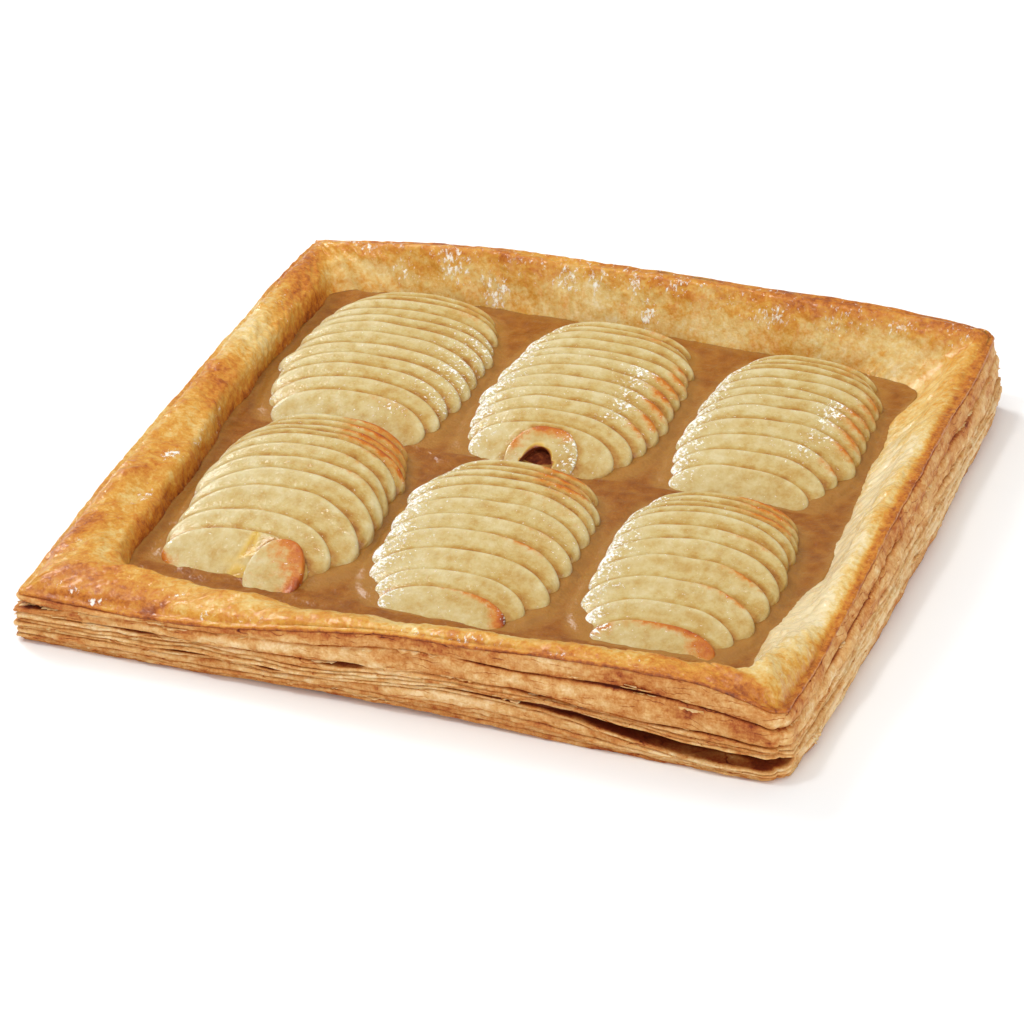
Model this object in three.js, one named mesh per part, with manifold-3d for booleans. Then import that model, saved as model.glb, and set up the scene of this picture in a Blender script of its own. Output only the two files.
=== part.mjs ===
// A square puff-pastry apple tart, as it comes from the oven: one pastry case with a raised flaky rim, a
// layer of apple compote inside it, and six apple halves, each cut in thin slices that are fanned out and
// lean back. Millimetres, +Z up. The origin is the middle of the square footprint, on the surface that the
// tart stands on. +X runs along the front edge to the right, +Y to the back.

import * as THREE from "three";
import { mergeVertices } from "three/addons/utils/BufferGeometryUtils.js";
import Module from "manifold-3d";

const wasm = await Module();
wasm.setup();

// ------------------------------------------------------------------------------------ driving dimensions

const SIDE = 300; // the case, edge to edge across the footprint
const FLOOR_TOP = 8.5; // pastry under the compote
const COMPOTE_TOP = 16; // the level that the compote stands at
const SILL_TOP = 16.6; // where the rim's inner slope meets the compote
const BATTER = 0.8; // how much further in the basin's wall runs at its floor
const GAP = 0.4; // clear space between two pieces that touch in the real tart

const STRAIGHT_STEPS = 32; // stations along each side of the case
const CORNER_STEPS = 5; // stations round each corner
const OUTER_CORNERS = [8.5, 3, 3, 2.5]; // the outer wall's: front right, back right, back left, front left
const INNER_CORNER = 13; // corner radius at the compote
const CORNER_SHARE = 0.04; // the share of a side that counts as its corner
const SIDE_BLEND = 0.12; // the share over which one side's value passes into the next side's

const FOOT_LEVEL = 15; // the slices' feet stand a little below the compote's level
const ARC_STEPS = 16; // straight bits in a slice's round edge
const SQUARENESS = 2.4; // 2 would make that edge a half ellipse, and more than 2 gives it steeper sides
const BURIED = 14; // how far a slice's sides run on below its foot, to be trimmed
const OVERLAP = 0.8; // how far a slice's body reaches into the next slice
const CORE_RADIUS = 6.5; // the round hole that the corer left
const CORE_LENGTH = 16;

// The sides in the order in which the stations go round: front, right, back, left. Height of the upper cut
// edge at the side's first corner and then at every fifth of its length, because the rim has puffed unevenly.
const EDGE_HEIGHTS = [
  [21, 20.5, 27.5, 33.5, 36.5],
  [29, 27, 32, 33.5, 31],
  [33.5, 38.5, 38, 37.5, 34],
  [25.5, 27.5, 27.5, 26.5, 24],
];
// How far the glazed skin swells above that edge, how far in its crest lies, and how far it is from the outer
// wall to the compote, at the same places.
const CREST_RISE = [
  [7, 6.5, 3, 2.5, 2.5],
  [9.5, 3, 1, 1, 1],
  [1, 1, 1, 1, 1.5],
  [2, 3, 3, 3, 3.5],
];
const CREST_INSET = [
  [19, 17, 8.5, 6.5, 8],
  [11.5, 6.5, 5, 5, 5],
  [5, 5, 5, 5, 5.5],
  [6, 8, 8, 8, 10],
];
const BORDER_WIDTH = [
  [27, 28, 28.5, 28.5, 27],
  [25, 24.5, 19, 21.5, 23.5],
  [18, 14.5, 16, 14.5, 15.5],
  [17.5, 18, 18, 23, 25],
];
const SIDE_BULGE = [1, 8, 0.5, 0.5]; // how far each side's wall has spread past the footprint

// The wall's leaves from the bottom up: the share of the edge height that each lip reaches, how far it stands
// out from the footprint, how deep the groove above it runs, and how much of the side's bulge it takes.
const LEAVES = [
  { lip: 0.12, out: 1.0, groove: 1.4, spread: 0.9 },
  { lip: 0.3, out: 2.2, groove: 3.2, spread: 1.0 },
  { lip: 0.52, out: 1.0, groove: 2.2, spread: 0.9 },
  { lip: 0.7, out: 1.4, groove: 1.8, spread: 0.7 },
  { lip: 0.86, out: 0.4, groove: 1.2, spread: 0.5 },
];
const EDGE_SPREAD = 0.3; // the cut edge's own share of the bulge
const FOOT_TUCK = 1.2; // how far the case draws in where it stands on the surface
const GROOVE_RISE = 0.07; // a groove's foot lies this share of the edge height above its lip

// The skin between the cut edge and the crest, and between the crest and the compote: how far along and how
// far up or down a point in between lies. The left side stays high until it is close to the compote.
const SHOULDER = { along: 0.4, up: 0.75 };
const SLOPE_ALONG = [0.6, 0.5, 0.5, 0.84];
const SLOPE_DOWN = [0.45, 0.46, 0.4, 0.3];

// The split between the lower sheet and the border laid on it gapes at the two front corners. "at" counts
// sides round the case: 0 is the front-left corner and 1 the front-right corner.
const CORNER_SPLITS = [
  { at: 0, reach: 0.16, depth: 8 },
  { at: 0.93, reach: 0.22, depth: 8 },
];
const SPLIT_LEAF = 1; // the leaf whose groove is that split

// The six fans. "front" is the Y of the first slice's foot. The lists run from the fan's front to its back,
// evenly spaced: the X of the slices' middle, the distance from one foot to the next, the angle above the
// flat at which a slice lies, its half-width, and its height measured up the lean. "core" is the X of the
// corer's hole.
const FANS = [
  {
    name: "apple_front_left", front: -106, slices: 11, core: -77,
    middle: [-84, -78, -81, -81, -81], step: [7, 12, 11, 8.5, 8], lean: [26, 28, 30, 32, 36],
    halfWidth: [32, 40, 40.5, 39.5, 33], height: [24, 36, 34, 27, 20],
  },
  {
    name: "apple_front_middle", front: -110, slices: 11,
    middle: [3.5, 3, 1.5, 1, 1.5], step: [6, 12, 11, 8, 7], lean: [24, 25, 27, 30, 36],
    halfWidth: [27, 39, 40, 39.5, 33], height: [17, 27, 28, 24, 18],
  },
  {
    name: "apple_front_right", front: -106, slices: 11,
    middle: [85, 85, 84, 83, 83], step: [7, 12, 10.5, 8, 7], lean: [24, 25, 27, 30, 36],
    halfWidth: [26, 37.5, 38, 37, 32], height: [16, 28, 30, 24, 17],
  },
  {
    name: "apple_back_left", front: 12, slices: 12,
    middle: [-83, -85, -85.5, -86, -86], step: [7, 10, 10, 9, 8], lean: [26, 27, 28, 30, 36],
    halfWidth: [35, 42, 43, 41, 33], height: [24, 28, 26, 22, 16],
  },
  {
    name: "apple_back_middle", front: 12, slices: 12, core: 3,
    middle: [-1, 1, 1, 0, -1], step: [7, 10, 10, 9, 8], lean: [26, 27, 28, 30, 36],
    halfWidth: [33, 41, 41, 39.5, 33], height: [24, 28, 26, 22, 16],
  },
  {
    name: "apple_back_right", front: 12, slices: 12,
    middle: [82, 84, 84, 83, 82], step: [7, 10, 10, 8.5, 7.5], lean: [26, 27, 28, 30, 36],
    halfWidth: [30, 38, 38, 36.5, 30], height: [18, 28, 27, 23, 16],
  },
];

// ----------------------------------------------------------------------------------------- small helpers

const lerp = (a, b, t) => a + (b - a) * t;
const radians = (degrees) => (degrees * Math.PI) / 180;

// A smooth wave round the case, which closes on itself after four sides. The seed picks its phases.
function ripple(around, seed, waves = [3, 7, 13]) {
  const turn = (around / 4) * 2 * Math.PI;
  return waves.reduce((sum, n, i) => sum + Math.sin(n * turn + seed * (2.4 + 1.7 * i)), 0) / waves.length;
}

// The smooth curve through four keys, at t between the middle two.
function through(a, b, c, d, t) {
  const bend = 2 * a - 5 * b + 4 * c - d;
  const twist = 3 * (b - c) + d - a;
  return b + 0.5 * t * (c - a + t * (bend + t * twist));
}

// The value of a list of keys, equally spaced round the case, at one place on it.
function roundTheCase(keys, around) {
  const at = (around / 4) * keys.length;
  const i = Math.floor(at);
  const [a, b, c, d] = [-1, 0, 1, 2].map((k) => keys[(i + k + keys.length) % keys.length]);
  return through(a, b, c, d, at - i);
}

// The value of a list of keys, equally spaced from 0 to 1, at one place between.
function alongTheFan(keys, t) {
  const last = keys.length - 1;
  const i = Math.min(Math.floor(t * last), last - 1);
  const before = i > 0 ? keys[i - 1] : 2 * keys[0] - keys[1];
  const after = i + 2 <= last ? keys[i + 2] : 2 * keys[last] - keys[last - 1];
  return through(before, keys[i], keys[i + 1], after, t * last - i);
}

// One value a side, blended into the next side's over the corner between them.
function sideValue(values, around) {
  const side = Math.floor(around) % 4;
  const t = around - Math.floor(around);
  const before = values[(side + 3) % 4];
  const after = values[(side + 1) % 4];
  if (t < SIDE_BLEND) return lerp(before, values[side], 0.5 + (0.5 * t) / SIDE_BLEND);
  if (t > 1 - SIDE_BLEND) return lerp(values[side], after, 0.5 - (0.5 * (1 - t)) / SIDE_BLEND);
  return values[side];
}

function solidOf(geometry) {
  const plain = geometry.index ? geometry.toNonIndexed() : geometry.clone();
  plain.deleteAttribute("normal");
  plain.deleteAttribute("uv");
  const merged = mergeVertices(plain, 1e-3);
  return new wasm.Manifold(
    new wasm.Mesh({
      numProp: 3,
      vertProperties: merged.attributes.position.array,
      triVerts: new Uint32Array(merged.index.array),
    }),
  );
}

function geometryOf(solid) {
  const mesh = solid.getMesh();
  const geometry = new THREE.BufferGeometry();
  geometry.setAttribute("position", new THREE.BufferAttribute(new Float32Array(mesh.vertProperties), 3));
  geometry.setIndex(new THREE.BufferAttribute(new Uint32Array(mesh.triVerts), 1));
  geometry.computeVertexNormals();
  return geometry;
}

function node(name, geometry, material) {
  const mesh = new THREE.Mesh(geometry, material);
  mesh.name = name;
  return mesh;
}

// ------------------------------------------------------------------------------------- stations and rings

const TANGENTS = [[1, 0], [0, 1], [-1, 0], [0, -1]];
const OUTWARDS = [[0, -1], [1, 0], [0, 1], [-1, 0]];

// The stations go round the case from the front-left corner, seen from above against the clock.
const STATIONS = [];
for (let side = 0; side < 4; side++) {
  for (let i = 0; i < STRAIGHT_STEPS; i++) {
    const t = i / STRAIGHT_STEPS;
    STATIONS.push({ side, t, turn: 0, around: side + lerp(CORNER_SHARE, 1 - CORNER_SHARE, t) });
  }
  for (let i = 0; i < CORNER_STEPS; i++) {
    const t = i / CORNER_STEPS;
    STATIONS.push({ side, t: 1, turn: t, around: (side + 1 + lerp(-CORNER_SHARE, CORNER_SHARE, t)) % 4 });
  }
}

// The point of one station on a rounded square that lies "inset" inside the footprint. "depth" is 0 where its
// corners are the outer wall's, and 1 where they are the compote's.
function ringPoint(station, inset, depth) {
  const half = SIDE / 2 - inset;
  const before = lerp(OUTER_CORNERS[(station.side + 3) % 4], INNER_CORNER, depth);
  const corner = lerp(OUTER_CORNERS[station.side], INNER_CORNER, depth);
  const [tx, ty] = TANGENTS[station.side];
  const [nx, ny] = OUTWARDS[station.side];
  const angle = (station.turn * Math.PI) / 2;
  const along = lerp(before - half, half - corner, station.t) + corner * Math.sin(angle);
  const out = half - corner + corner * Math.cos(angle);
  return [tx * along + nx * out, ty * along + ny * out];
}

// A closed body from rings: a lathe's mesh, each vertex of which is then put where its ring runs at its
// station. The first and the last ring are single points on the axis, given as a height.
function bodyOfRings(bottomZ, rings, topZ) {
  const profile = [new THREE.Vector2(0, bottomZ)];
  rings.forEach((_, j) => profile.push(new THREE.Vector2(1, bottomZ + j)));
  profile.push(new THREE.Vector2(0, topZ));
  const geometry = new THREE.LatheGeometry(profile, STATIONS.length);
  const position = geometry.attributes.position;
  for (let i = 0; i <= STATIONS.length; i++) {
    const station = STATIONS[i % STATIONS.length];
    position.setXYZ(i * profile.length, 0, 0, bottomZ);
    rings.forEach((ring, j) => {
      const { inset, z, depth } = ring(station);
      const [x, y] = ringPoint(station, inset, depth);
      position.setXYZ(i * profile.length + j + 1, x, y, z);
    });
    position.setXYZ((i + 1) * profile.length - 1, 0, 0, topZ);
  }
  return geometryOf(solidOf(geometry));
}

// ---------------------------------------------------------------------------------------- the pastry case

const edgeHeight = (around) => roundTheCase(EDGE_HEIGHTS.flat(), around) + 0.5 * ripple(around, 3, [9, 17]);

// How far inside the footprint the wall runs. "spread" is the share of the side's bulge that it takes there.
function outlineInset(around, spread) {
  const swell = Math.sin(Math.PI * (around % 1)) ** 0.4;
  return 0.6 * ripple(around, 5) - spread * sideValue(SIDE_BULGE, around) * swell;
}

function borderWidth(around) {
  return roundTheCase(BORDER_WIDTH.flat(), around) + 1.1 * ripple(around, 8, [11, 19, 27]);
}

function splitDepth(around) {
  return CORNER_SPLITS.reduce((depth, split) => {
    const away = Math.min(Math.abs(around - split.at), 4 - Math.abs(around - split.at));
    return depth + split.depth * Math.max(0, 1 - (away / split.reach) ** 2);
  }, 0);
}

// Each leaf gives two rings: its lip, and the foot of the groove above it.
function leafRings(leaf, index) {
  const lip = ({ around }) => ({
    inset: outlineInset(around, leaf.spread) - leaf.out + 0.7 * ripple(around, 11 + index, [8, 15, 23]),
    z: edgeHeight(around) * leaf.lip + 0.5 * ripple(around, 17 + index, [4, 9]),
    depth: 0,
  });
  const groove = ({ around }) => ({
    inset: outlineInset(around, leaf.spread) + leaf.groove + (index === SPLIT_LEAF ? splitDepth(around) : 0),
    z: edgeHeight(around) * (leaf.lip + GROOVE_RISE) + 0.5 * ripple(around, 17 + index, [4, 9]),
    depth: 0,
  });
  return [lip, groove];
}

const crestInset = (around) => roundTheCase(CREST_INSET.flat(), around);
const crestRise = (around) => roundTheCase(CREST_RISE.flat(), around) + 0.6 * ripple(around, 29, [12, 21]);
const crestHeight = (around) => edgeHeight(around) + crestRise(around);

function pastryCase() {
  const foot = ({ around }) => ({
    inset: outlineInset(around, LEAVES[0].spread) + FOOT_TUCK,
    z: 0,
    depth: 0,
  });
  const cutEdge = ({ around }) => ({
    inset: outlineInset(around, EDGE_SPREAD),
    z: edgeHeight(around),
    depth: 0,
  });
  const shoulder = ({ around }) => ({
    inset: crestInset(around) * SHOULDER.along,
    z: lerp(edgeHeight(around), crestHeight(around), SHOULDER.up),
    depth: 0,
  });
  const crest = ({ around }) => ({ inset: crestInset(around), z: crestHeight(around), depth: 0.2 });
  const slope = ({ around }) => ({
    inset: lerp(crestInset(around), borderWidth(around), sideValue(SLOPE_ALONG, around)),
    z: lerp(crestHeight(around), COMPOTE_TOP, sideValue(SLOPE_DOWN, around)),
    depth: 0.7,
  });
  const sill = ({ around }) => ({ inset: borderWidth(around), z: SILL_TOP, depth: 1 });
  const basin = ({ around }) => ({ inset: borderWidth(around) + BATTER, z: FLOOR_TOP, depth: 1 });
  const wall = LEAVES.flatMap(leafRings);
  return bodyOfRings(0, [foot, ...wall, cutEdge, shoulder, crest, slope, sill, basin], FLOOR_TOP);
}

// -------------------------------------------------------------------------------------------- the compote

// It fills the basin up to its level, from wall to wall.
function compote() {
  const bottom = FLOOR_TOP + GAP;
  const rings = [
    ({ around }) => ({ inset: borderWidth(around) + BATTER + GAP, z: bottom, depth: 1 }),
    ({ around }) => ({ inset: borderWidth(around) + GAP, z: COMPOTE_TOP, depth: 1 }),
  ];
  return bodyOfRings(bottom, rings, COMPOTE_TOP);
}

// ------------------------------------------------------------------------------------------ the apple fans

// How a fan's slices lie, from the front to the back. Middle and foot are X and Y at the feet's level.
function fanSlices(fan) {
  const list = [];
  let foot = fan.front;
  for (let i = 0; i < fan.slices; i++) {
    const t = i / (fan.slices - 1);
    const step = alongTheFan(fan.step, t);
    list.push({
      foot,
      step,
      middle: alongTheFan(fan.middle, t) + 0.4 * Math.sin(2.9 * i + fan.front),
      lean: radians(alongTheFan(fan.lean, t)),
      halfWidth: alongTheFan(fan.halfWidth, t) + 0.6 * Math.sin(2.3 * i + fan.middle[0]),
      height: alongTheFan(fan.height, t) + 0.5 * Math.sin(1.7 * i + fan.middle[0]),
    });
    foot += step;
  }
  return list;
}

// The round edge of a slice, from its right-hand foot over the top to the left-hand one.
function roundEdge(halfWidth, height) {
  const points = [];
  for (let i = 0; i <= ARC_STEPS; i++) {
    const angle = (Math.PI * i) / ARC_STEPS;
    const across = Math.sign(Math.cos(angle)) * Math.abs(Math.cos(angle)) ** (2 / SQUARENESS);
    points.push(new THREE.Vector2(halfWidth * across, height * Math.sin(angle) ** (2 / SQUARENESS)));
  }
  return points;
}

// One half-round slice. Its cut face looks forward and up. The body behind that face reaches into the next
// slice, and its foot runs on below the compote's level.
function sliceSolid({ foot, step, middle, lean, halfWidth, height }) {
  const outline = new THREE.Shape([
    new THREE.Vector2(-halfWidth, -BURIED),
    new THREE.Vector2(halfWidth, -BURIED),
    ...roundEdge(halfWidth, height),
  ]);
  const depth = step * Math.sin(lean) + OVERLAP;
  const body = new THREE.ExtrudeGeometry(outline, { depth, bevelEnabled: false });
  body.translate(0, 0, -depth);
  body.rotateX(lean);
  body.translate(middle, foot, FOOT_LEVEL);
  return solidOf(body);
}

// All the slices of one apple half, trimmed flat just above the compote.
function appleFan(fan) {
  const slices = fanSlices(fan);
  let fused = slices.map(sliceSolid).reduce((all, slice) => all.add(slice));
  const below = new THREE.BoxGeometry(SIDE, 2 * SIDE, SIDE);
  below.translate(fan.middle[0], fan.front, COMPOTE_TOP + GAP - SIDE / 2);
  fused = fused.subtract(solidOf(below));
  if (fan.core) {
    const core = new THREE.CylinderGeometry(CORE_RADIUS, CORE_RADIUS, CORE_LENGTH, 14);
    core.translate(fan.core, fan.front + CORE_LENGTH / 4, COMPOTE_TOP);
    fused = fused.subtract(solidOf(core));
  }
  return geometryOf(fused);
}

// ----------------------------------------------------------------------------------------------- the tart

const baked = new THREE.MeshStandardMaterial({ color: 0xd39b55, roughness: 0.55, metalness: 0 });
const syrup = new THREE.MeshStandardMaterial({ color: 0xbd8a48, roughness: 0.3, metalness: 0 });
const apple = new THREE.MeshStandardMaterial({ color: 0xdfc682, roughness: 0.35, metalness: 0 });

const tart = new THREE.Group();
tart.add(node("pastry_case", pastryCase(), baked));
tart.add(node("compote", compote(), syrup));
for (const fan of FANS) tart.add(node(fan.name, appleFan(fan), apple));

export default tart;
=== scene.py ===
# A square puff-pastry apple tart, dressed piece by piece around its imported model: the two layered sheets of
# the case, its glazed rim, the flakes that have come loose, the compote and the six fanned apple halves.
# Lengths in the sections are in millimetres, and MM turns them into the frame's metres.

import math

import bpy
import numpy as np
from mathutils import Matrix, Vector


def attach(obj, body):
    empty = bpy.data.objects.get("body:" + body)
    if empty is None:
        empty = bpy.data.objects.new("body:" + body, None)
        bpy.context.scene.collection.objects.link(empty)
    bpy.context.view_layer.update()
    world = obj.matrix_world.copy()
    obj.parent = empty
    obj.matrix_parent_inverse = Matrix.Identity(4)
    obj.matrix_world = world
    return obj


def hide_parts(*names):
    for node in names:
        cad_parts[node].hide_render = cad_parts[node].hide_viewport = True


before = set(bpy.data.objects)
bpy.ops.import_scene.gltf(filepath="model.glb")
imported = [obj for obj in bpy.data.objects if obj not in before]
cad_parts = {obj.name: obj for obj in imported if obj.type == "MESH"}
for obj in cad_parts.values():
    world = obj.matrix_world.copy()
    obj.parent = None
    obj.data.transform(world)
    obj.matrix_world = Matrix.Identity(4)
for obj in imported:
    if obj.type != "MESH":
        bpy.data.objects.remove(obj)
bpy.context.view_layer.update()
MM = 0.001

# -------------------------------------------------------------------------------- the case's layered sheets
# Puff pastry in two sheets, a base and the border laid on it, cut square and baked until the leaves part.
# The cut side shows every leaf: thin lips, puffed bands, dark lines, and splits that gape at two corners.

SIDE = 300
ROUND = 4 * SIDE
CORNER_SHARE = 0.04
SIDE_BLEND = 0.12
# The outer wall's corner radii: front right, back right, back left, front left.
OUTER_CORNERS = [8.5, 3, 1, 1.5]
INNER_CORNER = 13
STATIONS = 1640
CORNER_PACE = 0.4

# Keys go round the case at even steps from the front-left corner, along the front, right, back and left.
EDGE_HEIGHTS = [21, 20, 20.6, 22.7, 27.9, 31.8, 33.6, 36.2, 36.8, 36.3,
                28.8, 26.8, 27, 29.4, 32, 33.2, 33.5, 32.6, 31, 31.5,
                33.5, 36.5, 38.5, 38.5, 38, 37.9, 37.5, 36.3, 34, 30,
                25.5, 26.3, 27.5, 27.8, 27.5, 27.2, 26.5, 25.4, 24, 22.6]
SIDE_BULGE = [1, 8, 0.5, 0.5]

# The main lines between the leaves, as shares of the edge's height: the top of the fine leaves at the
# bottom, the split between the sheets, the line in the middle, and the line under the border's top band.
FINE_TOP = [0.14, 0.2, 0.22, 0.2, 0.17, 0.16, 0.2, 0.18, 0.12, 0.08,
            0.1, 0.18, 0.25, 0.27, 0.3, 0.3, 0.28, 0.25, 0.22, 0.2,
            0.2, 0.19, 0.18, 0.19, 0.2, 0.21, 0.22, 0.21, 0.2, 0.2,
            0.2, 0.21, 0.22, 0.21, 0.2, 0.19, 0.18, 0.16, 0.15, 0.14]
SPLIT = [0.33, 0.38, 0.46, 0.42, 0.35, 0.38, 0.45, 0.385, 0.284, 0.22,
         0.28, 0.36, 0.42, 0.45, 0.45, 0.44, 0.42, 0.4, 0.38, 0.36,
         0.35, 0.38, 0.4, 0.41, 0.42, 0.41, 0.4, 0.39, 0.38, 0.39,
         0.4, 0.41, 0.42, 0.4, 0.38, 0.39, 0.4, 0.38, 0.36, 0.34]
MIDDLE = [0.6, 0.65, 0.65, 0.64, 0.54, 0.53, 0.58, 0.54, 0.46, 0.44,
          0.52, 0.55, 0.58, 0.6, 0.6, 0.6, 0.58, 0.56, 0.55, 0.54,
          0.54, 0.55, 0.56, 0.57, 0.58, 0.58, 0.57, 0.56, 0.55, 0.55,
          0.56, 0.57, 0.58, 0.57, 0.56, 0.56, 0.57, 0.58, 0.59, 0.6]
UNDER_BORDER = [0.79, 0.83, 0.87, 0.855, 0.785, 0.82, 0.82, 0.77, 0.775, 0.74,
                0.76, 0.78, 0.8, 0.8, 0.8, 0.8, 0.78, 0.78, 0.77, 0.76,
                0.76, 0.78, 0.8, 0.79, 0.78, 0.79, 0.8, 0.79, 0.78, 0.77,
                0.76, 0.78, 0.8, 0.79, 0.78, 0.79, 0.8, 0.78, 0.76, 0.77]
# Where the cut side is paler or browner: places round the case, share of the height, reaches, change.
WALL_PATCHES = [
    (0.14, 0.6, 0.08, 0.14, -0.2), (0.08, 0.72, 0.06, 0.1, 0.16), (0.36, 0.72, 0.09, 0.14, -0.24),
    (0.3, 0.5, 0.08, 0.12, -0.15), (0.42, 0.94, 0.14, 0.08, 0.14), (0.5, 0.48, 0.1, 0.16, -0.2),
    (0.55, 0.92, 0.07, 0.08, 0.12), (0.64, 0.9, 0.05, 0.14, 0.1), (0.7, 0.92, 0.04, 0.12, -0.2),
    (0.72, 0.66, 0.12, 0.12, -0.1), (0.81, 0.8, 0.045, 0.17, 0.26), (0.9, 0.62, 0.07, 0.12, 0.18),
    (0.96, 0.6, 0.05, 0.2, 0.2), (0.6, 0.3, 0.1, 0.12, -0.12), (0.85, 0.1, 0.1, 0.08, -0.12),
    (1.2, 0.2, 0.2, 0.2, -0.12), (1.32, 0.75, 0.05, 0.16, 0.2), (1.4, 0.6, 0.04, 0.12, 0.18),
    (1.52, 0.8, 0.06, 0.14, 0.14), (1.62, 0.7, 0.05, 0.14, 0.2), (1.72, 0.8, 0.08, 0.14, 0.22),
    (1.6, 0.25, 0.3, 0.2, -0.14), (2.5, 0.6, 0.4, 0.3, 0.05), (3.5, 0.6, 0.4, 0.3, 0.05),
    (1.3, 0.5, 0.3, 0.5, -0.2), (1.75, 0.45, 0.3, 0.45, -0.16),
]

# The stations lie further apart round a corner, CORNER_PACE times as many to a length as elsewhere.
fine_steps = np.arange(0, 4, 0.0005)
near_corner = np.minimum(fine_steps % 1, 1 - fine_steps % 1) < CORNER_SHARE
passed = np.cumsum(np.where(near_corner, CORNER_PACE, 1.0))
AROUND = np.interp(np.arange(STATIONS) / STATIONS * passed[-1], passed, fine_steps)


def ring_place(around, inset, depth):
    """X and Y at places round the case, that far inside the footprint. At depth 0 the ring has the outer
    wall's corners, and at depth 1 the compote's."""
    place = (around - CORNER_SHARE) % 4
    side = np.floor(place).astype(int) % 4
    share = place - np.floor(place)
    straight = np.clip(share / (1 - 2 * CORNER_SHARE), 0, 1)
    angle = np.clip((share - 1 + 2 * CORNER_SHARE) / (2 * CORNER_SHARE), 0, 1) * math.pi / 2
    tangents = np.array([[1, 0], [0, 1], [-1, 0], [0, -1]])[side]
    outwards = np.array([[0, -1], [1, 0], [0, 1], [-1, 0]])[side]
    radii = np.array(OUTER_CORNERS)
    before = radii[(side + 3) % 4] * (1 - depth) + INNER_CORNER * depth
    corner = radii[side] * (1 - depth) + INNER_CORNER * depth
    half = SIDE / 2 - inset
    along = (before - half) * (1 - straight) + (half - corner) * straight + corner * np.sin(angle)
    out = half - corner + corner * np.cos(angle)
    return (tangents[..., 0] * along + outwards[..., 0] * out,
            tangents[..., 1] * along + outwards[..., 1] * out)


outline_x, outline_y = ring_place(AROUND, 0, 0)
ALONG = np.cumsum(np.hypot(outline_x - np.roll(outline_x, 1), outline_y - np.roll(outline_y, 1)))
ALONG = (ALONG - ALONG[0]) * ROUND / ALONG[-1]


def smooth_keys(keys, around):
    """The closed smooth curve through keys spaced evenly round the case."""
    keys = np.array(keys, float)
    at = around / 4 * len(keys)
    i = np.floor(at).astype(int)
    t = at - i
    a, b, c, d = (keys[(i + k) % len(keys)] for k in (-1, 0, 1, 2))
    return b + 0.5 * t * (c - a + t * (2 * a - 5 * b + 4 * c - d + t * (3 * (b - c) + d - a)))


def side_value(values, around):
    """One value a side, blended into its neighbour's over the corners."""
    values = np.array(values, float)
    side = np.floor(around).astype(int) % 4
    t = around - np.floor(around)
    into = np.clip(0.5 + 0.5 * t / SIDE_BLEND, 0, 1)
    out = np.clip(0.5 - 0.5 * (1 - t) / SIDE_BLEND, 0, 1)
    near = values[(side + 3) % 4] * (1 - into) + values[side] * into
    return near * (1 - out) + values[(side + 1) % 4] * out


def ripple(around, seed, waves=(3, 7, 13)):
    """The slow waves of the case, the same as its solid's."""
    turn = around * math.pi / 2
    return sum(np.sin(n * turn + seed * (2.4 + 1.7 * i)) for i, n in enumerate(waves)) / len(waves)


def wander(along, up, long, high, seed):
    """Smooth chance values between -1 and 1 in patches of about long by high, closed after one round."""
    columns, rows = max(4, round(ROUND / long)), 97
    draw = np.random.default_rng(seed).uniform(-1, 1, (columns, rows))
    a = along / ROUND * columns
    b = up / high
    i, j = np.floor(a).astype(int), np.floor(b).astype(int)
    s, t = a - i, b - j
    s, t = s * s * (3 - 2 * s), t * t * (3 - 2 * t)
    near = draw[i % columns, j % rows] * (1 - t) + draw[i % columns, (j + 1) % rows] * t
    far = draw[(i + 1) % columns, j % rows] * (1 - t) + draw[(i + 1) % columns, (j + 1) % rows] * t
    return near * (1 - s) + far * s


def hump(value, middle, reach):
    """1 at the middle, 0 at the reach and beyond, with a smooth top and foot."""
    return np.clip(1 - ((value - middle) / reach) ** 2, 0, 1) ** 2


def apart(around, at):
    """How far round the case two places are from each other."""
    away = np.abs(around - at)
    return np.minimum(away, 4 - away)


EDGE_HEIGHT = smooth_keys(EDGE_HEIGHTS, AROUND) + 0.4 * ripple(AROUND, 3, (9, 17))
SWELL = side_value(SIDE_BULGE, AROUND) * np.sin(math.pi * (AROUND % 1)) ** 0.4
WOBBLE = 0.6 * ripple(AROUND, 5)
# Nothing on the cut side stands out further than this.
OUTERMOST = side_value([3.9, 10.3, 3.4, 3.1], AROUND)

# The split between the sheets gapes along the right third of the front and round that corner. The border's
# own line gapes at the front-left corner, and short slots stand open along the front.
GAPE = np.interp(AROUND, (0.5, 0.64, 0.73, 0.82, 0.9, 0.99, 1.02, 1.06),
                 (0, 0.7, 3.0, 5.4, 6.4, 6.4, 4.6, 0))
GAPE = GAPE + 1.5 * hump(AROUND, 0.26, 0.05) + 1.1 * hump(AROUND, 0.36, 0.03) + 0.06
GAPE_DEPTH = 0.5 + 0.25 * wander(ALONG, 0, 22, 1, 41) + 1.7 * GAPE + 1.5 * hump(AROUND, 0.26, 0.06)
SLOT = 0.25 + 1.9 * hump(AROUND, 0.45, 0.045) + 0.8 * hump(AROUND, 0.7, 0.06)
SLOT = SLOT + 0.6 * hump(AROUND, 0.2, 0.05)
SLOT_DEPTH = 1.1 + 0.6 * wander(ALONG, 0, 20, 1, 43) + 2.4 * hump(AROUND, 0.45, 0.05)
NOTCH = 0.25 + 3.8 * hump(apart(AROUND, 0), 0, 0.11) + 0.5 * hump(AROUND, 0.77, 0.04)
NOTCH_DEPTH = 1.0 + 0.5 * wander(ALONG, 0, 18, 1, 42) + 6 * hump(apart(AROUND, 0), 0, 0.13)
# The base has curled up a little from the table in the middle of the front.
LIFT = np.interp(AROUND, (0.28, 0.36, 0.44, 0.52, 0.6, 0.68, 0.74), (0, 1.1, 1.9, 2.2, 1.8, 0.9, 0))

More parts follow.
